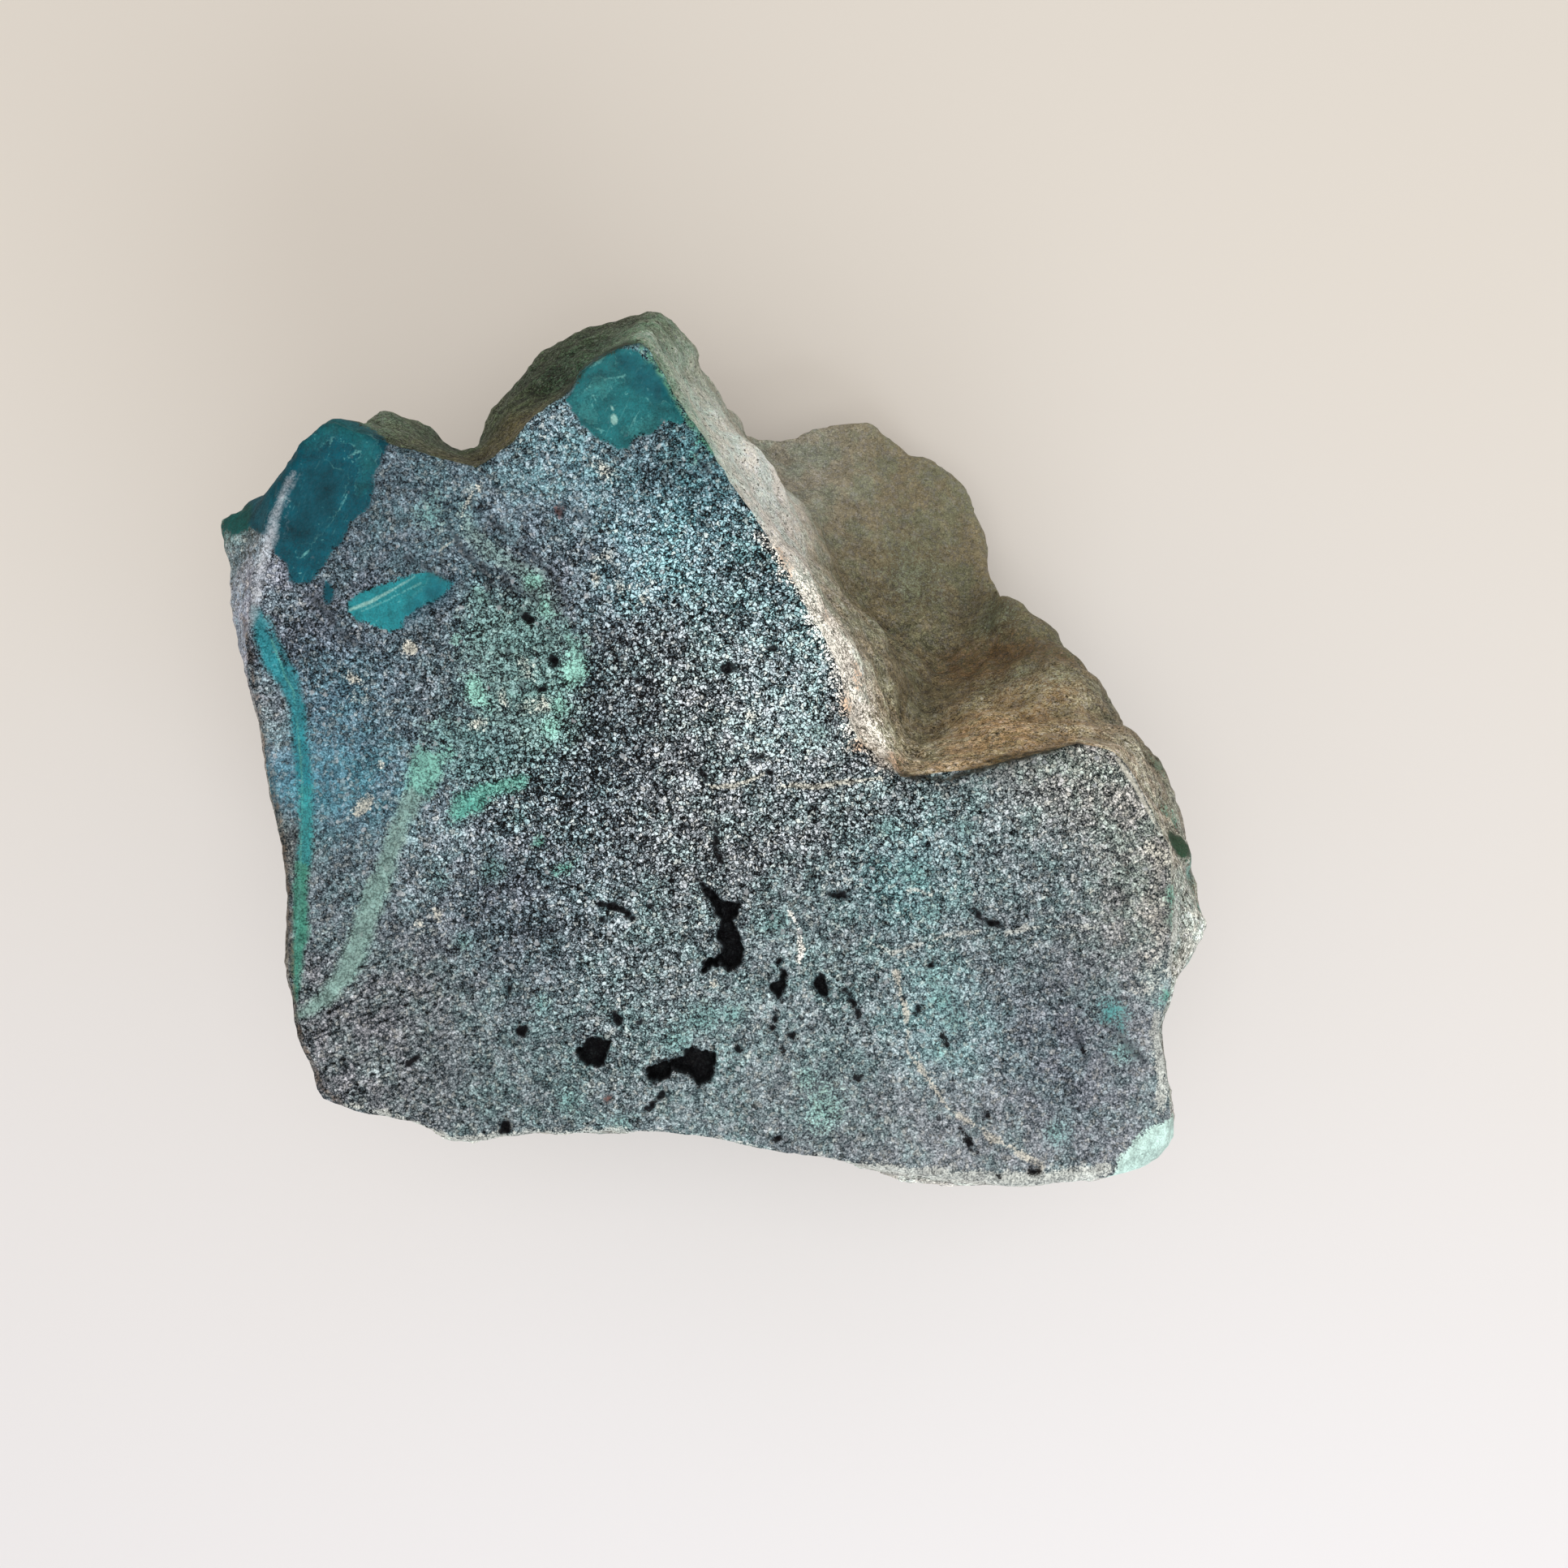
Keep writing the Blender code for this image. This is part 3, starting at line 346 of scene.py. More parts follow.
# Streaks, threads and spots that lie over the patches
OVERLAYS = {
    "mint_east": ("milky", MINT, spots(
        (-10.4, 3.2, 0.7, 1.3, 100), (-11.3, 1.0, 0.4, 1.5, 60), (-11.9, -0.6, 0.5), (-10.7, 4.3, 0.3),
        (-12.2, 7.6, 0.34, 1.6, 115), (-13.1, 9.4, 0.3, 1.5, 140))),
    "mint_west": ("milky", MINT, band(
        0.34, (-17.3, 2.7), (-17.1, 1.9), (-16.9, 1.3), (-16.3, 0.9, 0.15))),
    "mint_patch_light": ("mottled", VEIN_MINT, band(
        0.12, (-18.5, -6.4), (-17.7, -5.3, 0.16), (-16.2, -5.0, 0.2), (-14.9, -4.6), (-13.8, -4.2))),
    "vein_top_light": ("mottled", VEIN_MINT, spots(
        (-19.6, -3.0, 0.3, 1.8, 80), (-18.9, -2.4, 0.22), (-20.4, -3.8, 0.3))),
    "pale_patches": ("mottled", CREAM, spots(
        (-13.1, 1.1, 0.26, 1.8, 10), (-12.3, 0.7, 0.2, 1.6, 0), (-13.6, 3.2, 0.16, 2.0, -60),
        (-15.2, 1.3, 0.14), (-17.0, -0.4, 0.24), (-14.9, 7.4, 0.12), (-7.2, 9.0, 0.24),
        (-8.6, 10.8, 0.3, 1.5, 20), (1.8, 0.1, 0.3), (-8.2, 16.9, 0.2, 2.2, -40))),
    "bright_deep": ("glow", DEEP_BLUE, patch(
        (-22.0, 6.5), (-21.0, 8.3), (-19.8, 9.5), (-18.4, 9.4), (-19.0, 8.2), (-20.4, 7.6),
        (-21.6, 6.4))),
    "lobe_dark": ("glow", LOBE_DARK, patch(
        (-29.6, 15.0), (-27.6, 17.6), (-25.9, 16.4), (-26.4, 14.4), (-28.2, 12.2), (-29.4, 12.6))),
    "lobe_light": ("glow", LOBE_LIGHT, band(
        0.7, (-28.4, 19.0, 0.3), (-26.6, 20.0), (-25.2, 19.6), (-24.2, 18.2, 0.5), (-24.9, 15.8, 0.2))),
    # The pale strip along the south edge is partly the rock's own crumbly pale rim, partly a painted
    # highlight for the lit south side.
    "south_pale_rim_and_highlight": ("chalky", RIM_GREY, band(
        0.4, (-25.6, -26.5, 0.1), (-23.0, -27.1, 0.2), (-21.4, -27.5, 0.1), (-19.6, -28.4, 0.1),
        (-18.4, -28.9, 0.26), (-15.6, -28.6, 0.3), (-12.0, -28.5, 0.3), (-7.4, -28.4, 0.4),
        (-4.2, -28.8, 0.45), (-0.9, -29.1, 0.45), (1.7, -29.7), (4.0, -30.2), (8.9, -30.8, 0.5),
        (13.5, -31.3, 0.6), (16.6, -31.6, 0.7), (19.1, -31.8, 0.8), (22.2, -31.7, 0.8),
        (24.4, -31.3, 0.7), (26.2, -30.8, 0.4))),
    "corner_light": ("chalky", RIM_GREY, band(
        0.4, (29.6, -19.9, 0.1), (29.4, -21.4, 0.35), (29.8, -23.4, 0.5), (30.0, -25.4, 0.5),
        (29.7, -26.8, 0.3))),
    "bulge_light": ("chalky", RIM_GREY, band(
        0.3, (31.2, -12.6, 0.2), (31.2, -14.2, 0.4), (30.8, -16.0, 0.4), (30.1, -17.6, 0.2))),
    "bulge_blush": ("stain", BUFF_CREAM, band(
        0.25, (29.4, -12.8), (29.5, -15.0), (29.4, -17.0), (28.9, -18.4, 0.1))),
    "lobe_glints": ("hair", FROST, spots(
        (-24.4, 19.1, 0.06, 9, 28), (-25.0, 18.2, 0.05, 10, 24), (-24.2, 17.4, 0.05, 8, 35),
        (-26.8, 19.2, 0.05, 7, 70), (-27.2, 16.4, 0.05, 8, 60), (-26.0, 14.9, 0.05, 7, 64),
        (-25.6, 19.9, 0.06, 8, -30), (-28.7, 11.2, 0.05, 6, 40))),
    "peak_strokes": ("hair", FROST, spots(
        (-9.0, 22.0, 0.05, 9, -70), (-7.9, 22.7, 0.05, 8, -60), (-4.6, 22.2, 0.05, 8, -55),
        (-9.0, 24.1, 0.05, 8, 20), (-6.2, 20.4, 0.04, 8, 60), (-8.6, 19.7, 0.05, 6, -20))),
    # Painted highlight: a thin cream line along the east bevel's edge, where it catches the light.
    "east_edge_highlight": ("hair", CREAM, band(
        0.10, (26.7, -2.7, 0.04), (27.2, -3.4, 0.16), (28.2, -5.0, 0.16), (28.9, -6.4), (29.7, -7.7),
        (30.2, -8.6, 0.04))),
    "east_pale": ("mottled", CREAM, band(0.3, (29.0, -8.8, 0.1), (30.1, -9.6), (30.8, -10.8, 0.1))),
    "notch_edge": ("skin", DARK_OLIVE, band(
        0.22, (11.6, -3.8, 0.1), (13.4, -4.1, 0.26), (15.3, -4.15), (17.2, -3.55), (19.2, -2.95),
        (22.0, -2.25), (24.2, -1.65, 0.2), (26.0, -1.25, 0.08))),
    "notch_fringe": ("stain", DARK_OLIVE, band(
        0.25, (12.4, -4.8), (15.2, -4.8), (19.0, -3.7), (23.6, -2.5, 0.15))),
    "crumbled_corner": ("haze", BROWN, spots((10.9, -3.0, 0.6, 1.8, -45), (9.2, -0.6, 0.35, 2.0, 95))),
    "west_edge": ("seam", BROWN, band(
        0.12, (-33.0, 6.9), (-32.3, 3.0), (-31.6, -0.9), (-31.0, -4.2), (-30.2, -8.6), (-29.8, -13.0),
        (-29.6, -17.5), (-29.5, -20.3), (-28.8, -22.5), (-27.7, -25.3), (-26.3, -26.4))),
    "vein_crack": ("hair", VEIN_LIGHT, band(
        0.04, (-31.0, 5.4), (-30.4, 3.8, 0.07), (-30.0, 2.7), (-29.5, 1.9, 0.06), (-29.3, 0.2, 0.0),
        (-29.1, -1.6, 0.05), (-28.9, -4.2), (-28.9, -6.8, 0.0), (-29.0, -9.2, 0.05), (-29.1, -12.8),
        (-29.3, -16.0, 0.0))),
    "bright_streak": ("hair", FOAM, band(
        0.05, (-25.6, 7.4, 0.1), (-24.3, 7.9, 0.12), (-23.0, 8.6, 0.08), (-21.8, 9.3),
        (-21.2, 9.7, 0.03))),
    "bright_streak_low": ("hair", FROST, band(
        0.03, (-24.8, 7.3), (-23.2, 8.0), (-21.8, 8.7), (-20.8, 9.2))),
    "peak_blue": ("glow", PEAK_BLUE, patch(
        (-7.4, 25.0), (-6.2, 25.0), (-5.0, 24.0), (-4.2, 22.8), (-3.6, 21.6), (-5.0, 21.8), (-6.2, 22.6),
        (-7.0, 23.6))),
    "peak_light": ("glow", PEAK_LIGHT, spots(
        (-8.6, 22.6, 0.4, 2.4, 25), (-9.4, 20.9, 0.3, 1.8, -60), (-6.2, 19.8, 0.2, 2.0, 20))),
    "peak_glints": ("hair", FROST, band(
        0.03, (-9.6, 22.4), (-8.7, 22.9, 0.07), (-7.9, 23.2, 0.03), (-7.0, 23.3, 0.06),
        (-6.4, 23.7, 0.0))),
    "peak_rim": ("skin", BACK_GREEN, band(
        0.26, (-11.0, 22.1, 0.1), (-10.3, 23.0), (-9.6, 24.1), (-8.4, 24.9), (-7.2, 25.4), (-6.2, 25.7),
        (-5.3, 25.2, 0.15))),
    "mint_spot": ("hair", FOAM, spots((-7.6, 20.4, 0.24, 1.5, 95), (-7.7, 21.1, 0.08, 2.0, 120))),
    "peak_edge": ("skin", EDGE_GREEN, band(
        0.14, (-6.0, 25.7), (-5.3, 24.8, 0.2), (-4.6, 23.7, 0.2), (-3.9, 22.6), (-3.2, 21.5),
        (-2.6, 20.5, 0.2), (-1.8, 19.4), (-1.2, 18.6), (-0.4, 17.6, 0.1))),
    # The pale line along the west ridge is partly a bruise, partly a painted highlight on the edge.
    "ridge": ("sheen", LILAC, band(
        0.16, (-29.5, 16.8, 0.02), (-30.2, 15.4, 0.14), (-30.8, 13.6, 0.24), (-31.05, 12.4, 0.34),
        (-31.5, 11.2, 0.34), (-31.8, 9.8, 0.26), (-32.0, 8.7, 0.26), (-32.2, 7.4, 0.2),
        (-32.4, 6.4, 0.08))),
    "cream_spot": ("chalky", CREAM, spots((-21.6, 4.9, 0.5))),
    "cream_bits": ("chalky", CREAM, spots(
        (-25.3, 2.7, 0.24, 2.2, -20), (-24.9, 1.3, 0.24, 1.9, -5), (-23.4, 2.0, 0.16),
        (-23.5, -3.2, 0.18), (-24.7, -5.9, 0.34, 2.2, 52), (-19.8, -13.2, 0.16, 2.4, 110),
        (-20.9, -14.1, 0.16, 1.8, 15), (-16.9, 15.8, 0.22), (24.9, -11.8, 0.2), (-8.8, 9.6, 0.2),
        (-5.6, 8.2, 0.16), (-0.8, -18.2, 0.2))),
    "saddle_thread": ("thread", CREAM, band(
        0.08, (-17.0, 15.9), (-17.4, 15.1), (-17.9, 14.2), (-18.1, 13.2, 0.03), (-17.9, 12.9, 0.03))),
    "saddle_hair": ("hair", CREAM, band(0.05, (-19.5, 11.4), (-18.9, 11.9), (-18.4, 12.2, 0.02))),
    "cream_thread": ("thread", CREAM, band(
        0.12, (-1.0, -4.7, 0.08), (0.6, -4.6, 0.14), (1.6, -4.3, 0.2), (2.6, -3.8, 0.05))),
    "cream_thread_east": ("thread", CREAM, band(
        0.12, (3.6, -4.7, 0.06), (4.9, -4.6, 0.16), (6.2, -4.7, 0.14), (7.2, -4.5), (8.8, -4.3, 0.14),
        (10.7, -4.1, 0.06))),
    "east_thread": ("thread", RIM_GREY, band(
        0.08, (9.6, -15.2, 0.05), (11.4, -16.0, 0.12), (12.7, -15.6), (14.3, -15.1, 0.12),
        (15.7, -14.7, 0.06), (17.0, -14.6), (19.0, -14.7), (20.4, -14.4, 0.14), (21.4, -14.3),
        (23.6, -14.2, 0.1), (25.2, -14.3, 0.04))),
    "buff_thread": ("thread", BUFF_CREAM, band(
        0.10, (11.7, -17.4, 0.24), (12.0, -18.9, 0.1), (12.3, -20.0, 0.2), (12.5, -21.1, 0.06),
        (12.3, -22.6, 0.02), (13.3, -23.9, 0.14), (14.2, -25.1, 0.16), (15.0, -26.4, 0.0),
        (15.8, -27.1, 0.24), (17.3, -27.9, 0.0), (18.2, -28.7, 0.26), (19.4, -29.2, 0.06),
        (20.4, -29.9, 0.3), (21.6, -30.4, 0.16), (21.2, -31.7, 0.34))),
    "curl": ("thread", CRUMB_CREAM, band(
        0.08, (4.4, -13.2, 0.02), (5.0, -14.4, 0.1), (5.2, -15.6, 0.16), (5.1, -16.6, 0.12),
        (5.2, -17.0, 0.03))),
    "glow_thread": ("thread", RIM_GREY, band(
        0.08, (12.4, -11.8), (13.1, -11.7, 0.12), (14.0, -12.1, 0.04))),
    "rust_spots": ("chalky", RUST, spots(
        (-11.45, 14.1, 0.24, 1.7, 110), (-8.0, -26.0, 0.32), (10.3, -21.0, 0.2))),
    "orange_rim": ("mottled", ORANGE, spots(
        (9.9, 2.6, 0.5, 1.6, 100), (8.4, 0.9, 0.35, 1.8, 80), (9.1, -1.8, 0.35, 1.6, 40),
        (7.3, 6.8, 0.2, 2.0, 110), (11.9, -3.2, 0.5, 1.8, -25), (4.2, 10.4, 0.14, 3.0, 120))),
    "flow_lines": ("seam", SHADE, band(
        0.14, (-19.2, 14.5, 0.05), (-18.7, 12.8), (-17.8, 11.3, 0.18), (-16.3, 9.7), (-14.2, 8.7, 0.16),
        (-11.6, 7.6, 0.05))),
    "flow_line_east": ("seam", SHADE, band(
        0.12, (-17.3, 14.5, 0.04), (-15.4, 13.0), (-13.4, 11.3, 0.16), (-11.6, 9.7), (-11.0, 8.2, 0.05))),
    "flow_line_low": ("seam", SHADE, band(0.14, (-21.9, 11.1), (-19.6, 9.7), (-16.6, 8.3), (-14.6, 7.4))),
    "swirl_gaps": ("seam", SHADE, spots(
        (-15.0, 9.7, 0.2, 2.6, -30), (-16.2, 8.8, 0.24), (-13.6, 10.6, 0.14, 4.0, -12),
        (-12.0, 5.4, 0.12, 3.0, 85), (-14.0, 7.2, 0.2, 2.0, -20), (-16.4, 10.3, 0.2, 2.0, -20),
        (-14.8, 4.6, 0.2), (-13.9, 2.2, 0.22))),
    "west_seam": ("seam", SHADE, band(
        0.2, (-28.0, 8.2), (-26.7, 6.5), (-25.7, 5.3, 0.16), (-24.4, 4.4, 0.05))),
    "peak_seam": ("seam", SHADE, band(0.16, (-11.1, 14.6, 0.03), (-9.8, 13.8), (-8.5, 12.9, 0.03))),
    "peak_flank_seam": ("seam", SHADE, band(0.1, (-2.0, 18.2, 0.03), (-1.4, 17.2), (-1.1, 16.7, 0.03))),
    "east_seams": ("seam", SHADE, band(0.13, (23.8, -21.2), (24.3, -22.4), (24.7, -23.4))),
    "corner_seam": ("seam", SHADE, band(0.13, (26.8, -21.6), (27.6, -22.5), (28.6, -23.4))),
    # Painted highlight: a pale mint spot painted on the glassy knob for the light it catches.
    "knob_highlight": ("haze", FOAM, crusts((33.2, -10.7, 34.4, 0.9))),
    # Painted shade: a brown shadow line painted along the crease between the shelf and the slope, with a
    # stain's soft edge.
    "crease_shade": ("stain", CREASE_SHADE_BROWN, crusts(
        (18.9, 5.5, 18.8, 1.2), (21.0, 5.6, 20.1, 1.4), (23.0, 5.7, 22.6, 1.4), (25.1, 5.8, 24.3, 1.2))),
    "slope_moss": ("stain", DARK_MOSS, crusts(
        (12.9, 2.7, 27.1, 1.5), (13.9, 0.9, 26.4, 1.4), (15.8, 2.3, 23.2, 1.4), (16.0, -0.1, 27.8, 1.2),
        (14.3, -1.1, 28.9, 1.1), (21.9, 1.6, 29.1, 1.0), (23.5, 1.0, 30.6, 1.2), (25.0, 0.3, 31.6, 1.2),
        (22.9, -1.6, 35.3, 0.9), (26.6, -1.2, 35.4, 0.9))),
    "slope_green": ("stain", SLOPE_GREEN, crusts(
        (21.6, 3.5, 25.7, 1.3), (24.6, 3.4, 27.6, 1.0), (15.0, 13.3, 13.7, 1.6), (21.7, 9.6, 17.6, 1.5))),
    "slope_orange": ("stain", SLOPE_ORANGE, crusts(
        (17.0, -2.1, 35.3, 1.6), (19.8, -1.4, 34.6, 1.4), (14.8, -3.1, 37.6, 1.0),
        (18.4, 0.6, 31.0, 1.2))),
    "bevel_brown": ("stain", BROWN, crusts((31.5, -3.2, 31.2, 1.6), (30.8, -1.4, 30.6, 1.2))),
}

# Pits in the sawn face. The five large ones are cut in the CAD solid too: a depth and an outline
LARGE_PITS = {
    "long_pit": (1.9, [
        (-1.9, -11.0), (-0.9, -11.8), (-0.4, -12.25), (0.9, -12.7), (0.8, -13.3), (0.5, -13.8),
        (0.7, -14.4), (1.0, -14.9), (1.2, -15.7), (1.2, -16.5), (0.8, -17.1), (0.2, -17.2),
        (-0.3, -16.85), (-0.85, -16.9), (-1.6, -17.4), (-1.4, -16.5), (-0.9, -16.4), (-0.3, -16.0),
        (-0.2, -15.5), (-0.6, -15.05), (-0.5, -14.4), (-0.35, -13.75), (-0.8, -13.1), (-1.1, -12.3)]),
    "hooked_pit": (2.1, [
        (-5.5, -23.9), (-4.35, -23.4), (-3.5, -23.3), (-2.9, -23.0), (-2.4, -22.4), (-1.6, -22.7),
        (-0.8, -22.8), (-0.7, -24.0), (-1.0, -24.7), (-1.75, -25.3), (-2.1, -24.8), (-2.6, -24.3),
        (-3.6, -24.0), (-3.8, -24.6), (-4.7, -24.9), (-5.2, -24.7)]),
    "round_pit": (1.7, [
        (-10.3, -22.9), (-9.4, -21.9), (-8.8, -21.8), (-7.9, -22.1), (-8.0, -22.9), (-8.35, -23.7),
        (-9.4, -23.8), (-9.8, -23.4)]),
    "twin_pit_west": (1.1, [
        (2.95, -18.2), (3.3, -18.0), (3.7, -17.9), (3.9, -17.1), (4.2, -17.2), (4.1, -18.2), (3.8, -19.3),
        (3.5, -19.1)]),
    "twin_pit_east": (1.1, [
        (6.0, -17.9), (6.5, -17.5), (6.8, -17.9), (7.1, -18.6), (7.0, -19.2), (6.4, -18.8)]),
}
# The small ones: x, y, radius, length over width, turn in degrees
SMALL_PITS = [
    (-11.7, 3.9, 0.3, 1.3, 110), (-13.4, 6.8, 0.26, 1.6, -20), (0.1, 3.4, 0.26, 1.9, 10),
    (-0.7, -8.1, 0.16, 2.8, 95), (-0.55, -9.2, 0.13, 2.6, 100), (-0.3, -9.9, 0.08, 3.0, 110),
    (-7.7, -12.8, 0.2, 2.2, -10), (-6.8, -13.3, 0.22, 2.2, -40), (-8.3, -13.8, 0.18, 1.2, 0),
    (-7.4, -20.5, 0.26, 1.5, 110), (-5.8, -20.7, 0.15, 1.4, 20), (-13.9, -21.4, 0.32, 1.3, 30),
    (-14.8, -18.7, 0.12, 3.0, 75), (-21.3, -23.3, 0.16, 2.4, 40), (-15.0, -28.0, 0.36, 1.4, 80),
    (7.7, -12.1, 0.24, 2.2, -5), (3.4, -20.6, 0.14, 3.0, 70), (3.2, -21.1, 0.14, 1.4, 0),
    (8.6, -19.3, 0.2, 2.0, -60), (9.1, -20.3, 0.16, 2.4, -70), (4.5, -21.7, 0.16, 1.6, 0),
    (3.9, -22.5, 0.13, 2.0, 70), (0.9, -22.6, 0.16, 1.4, 0), (5.8, -21.2, 0.13, 1.4, 0),
    (-4.4, -25.8, 0.18, 2.2, 45), (-5.1, -26.5, 0.16, 2.2, 50), (3.6, -28.7, 0.2, 1.5, 0),
    (8.9, -24.5, 0.15, 1.6, 0), (16.6, -28.9, 0.18, 3.4, -60), (17.9, -27.1, 0.12, 2.2, 60),
    (17.2, -13.4, 0.18, 2.0, -50), (18.3, -14.0, 0.22, 2.2, -10), (14.1, -16.7, 0.16, 1.6, 60),
    (13.2, -19.9, 0.2, 1.6, 40), (14.9, -21.9, 0.16, 2.8, -65), (21.1, -30.9, 0.26, 1.5, 20),
    (18.6, -31.2, 0.12, 2.0, -40), (2.3, -2.7, 0.13, 1.8, 30), (3.0, -3.7, 0.12, 1.3, 0),
    (-1.5, -3.9, 0.09, 2.2, -50), (3.2, 4.8, 0.13, 1.6, 0), (-6.0, 2.6, 0.13, 1.3, 0),
    (24.4, -22.6, 0.1, 2.6, -60), (-8.3, -12.7, 0.14, 2.2, 0), (-6.4, -13.6, 0.12, 2.0, -20),
    (-12.6, 2.0, 0.2, 1.5, 0), (8.1, -18.6, 0.14, 1.8, 30), (3.6, -16.7, 0.16, 1.6, 40)
]


# The rock's hues, as colours whose brightness doesn't count
HUES = {
    "violet": (102, 110, 122),
    "slate": (94, 110, 118),
    "dusk": (90, 110, 121),
    "blue": (70, 119, 137),
    "ice": (97, 140, 152),
    "pale_ice": (105, 140, 149),
    "frost": (117, 141, 148),
    "sugar": (130, 135, 141),
    "grey": (118, 128, 134),
    "sea": (108, 126, 131),
    "lagoon": (94, 137, 143),
    "teal": (100, 135, 141),
    "moss": (103, 122, 130),
    "buff": (134, 136, 131),
}

# What the sawn rock is like from place to place: its hue, how light it is (0 to 255) and how far its
# light and dark grains stand apart. Each region fades into the next
Region = namedtuple("Region", "x y reach hue light contrast")
SAWN_REGIONS = {
    "lobe": Region(-21.9, 14.7, 4.0, "dusk", 98, 31),
    "under_lobe": Region(-26.3, 4.7, 3.5, "violet", 88, 42),
    "saddle": Region(-16.3, 14.7, 2.6, "dusk", 115, 45),
    "below_peak": Region(-12.6, 19.0, 1.6, "dusk", 109, 62),
    # The bright pale blue band across the sawn face here is partly the rock's own blue, partly a painted
    # sheen of reflected light
    "peak_band_sheen": Region(-11.0, 16.8, 2.4, "ice", 150, 44),
    "peak_neck": Region(-6.6, 17.2, 1.8, "dusk", 76, 46),
    # partly the rock's own blue, partly a painted sheen of reflected light
    "peak_middle_sheen": Region(-5.2, 12.5, 3.0, "ice", 153, 72),
    "peak_flank": Region(-3.0, 16.7, 1.9, "ice", 92, 40),
    "rust_ground": Region(-11.3, 11.4, 2.4, "violet", 93, 56),
    "swirl_shade": Region(-15.2, 9.2, 2.0, "dusk", 97, 64),
    "upper_east": Region(2.0, 8.0, 3.2, "pale_ice", 102, 73),
    "core": Region(3.7, 0.3, 3.8, "frost", 167, 92),
    "core_north": Region(1.6, 4.4, 2.4, "frost", 151, 92),
    "rim_shade": Region(8.6, -1.8, 2.2, "sugar", 101, 72),
    "notch_shade": Region(7.8, -6.0, 2.5, "grey", 95, 70),
    "sugary": Region(-1.9, 1.4, 3.2, "sugar", 110, 92),
    "dark_sugary": Region(-7.4, 0.3, 3.0, "slate", 68, 70),
    "dark_sugary_low": Region(-10.8, -4.2, 3.0, "slate", 97, 87),
    "centre": Region(-0.8, -6.9, 3.5, "grey", 108, 78),
    "west_centre": Region(-15.2, -12.5, 2.4, "violet", 64, 48),
    "west_middle": Region(-18.8, -10.2, 2.4, "slate", 137, 56),
    "west_south": Region(-13.4, -16.8, 2.8, "slate", 106, 52),
    "centre_west": Region(-10.4, -10.4, 2.4, "slate", 112, 68),
    "swirl_ground": Region(-13.6, 3.0, 2.8, "moss", 102, 47),
    "swirl_north": Region(-14.4, 6.6, 2.2, "moss", 80, 50),
    "swirl_west": Region(-17.7, 0.2, 2.0, "slate", 86, 48),
    "west_shade": Region(-21.3, 0.3, 3.0, "slate", 109, 49),
    "west_blue": Region(-26.0, -3.0, 2.8, "blue", 119, 21),
    "west_blue_high": Region(-26.2, 2.0, 2.2, "blue", 108, 38),
    "west_low": Region(-25.2, -12.0, 3.0, "slate", 106, 37),
    "streaky": Region(-24.7, -22.5, 5.0, "sugar", 104, 52),
    "south_west": Region(-15.2, -24.2, 4.0, "sea", 111, 38),
    "low_centre": Region(-5.2, -17.5, 4.5, "sea", 121, 60),
    "low_light": Region(2.4, -19.0, 2.2, "sea", 134, 44),
    "south": Region(0.3, -25.8, 4.0, "sea", 127, 32),
    "low_east": Region(6.4, -16.4, 4.0, "sea", 118, 46),
    "teal_glow": Region(12.6, -10.3, 2.4, "lagoon", 127, 49),
    "east": Region(18.7, -9.7, 4.0, "sea", 130, 54),
    "shelf_rim": Region(23.7, -4.4, 2.8, "buff", 136, 60),
    "east_rim": Region(28.3, -9.2, 2.4, "buff", 132, 46),
    "east_rim_low": Region(27.8, -14.0, 2.4, "buff", 131, 42),
    "east_low": Region(22.0, -16.4, 4.0, "grey", 102, 34),
    "east_edge": Region(28.6, -19.0, 2.6, "grey", 140, 34),
    "east_middle": Region(22.4, -10.8, 2.0, "sea", 116, 44),
    "east_shade": Region(22.6, -22.5, 3.0, "violet", 90, 36),
    "east_teal": Region(15.9, -20.8, 2.6, "teal", 146, 45),
    "corner_ground": Region(27.6, -23.2, 2.6, "grey", 131, 30),
    "south_east": Region(18.1, -27.5, 4.0, "grey", 131, 31),
    "south_rim": Region(5.9, -28.6, 3.0, "grey", 113, 34),
    "notch_ground": Region(12.0, -5.3, 2.4, "sea", 131, 76),
    "west_rim": Region(-31.0, -9.2, 1.4, "buff", 92, 30),
    "west_rim_high": Region(-30.8, 0.3, 1.3, "sugar", 134, 44),
    "tip": Region(-32.4, 9.7, 1.6, "violet", 139, 54),
}

# Where the sawn face's grain is drawn out into streaks: their name, x, y, reach and how streaky it is
STREAK_PLACES = (("streaky", -24.0, -22.0, 7.0, 0.9), ("flowing", -14.5, 12.0, 4.5, 0.6))

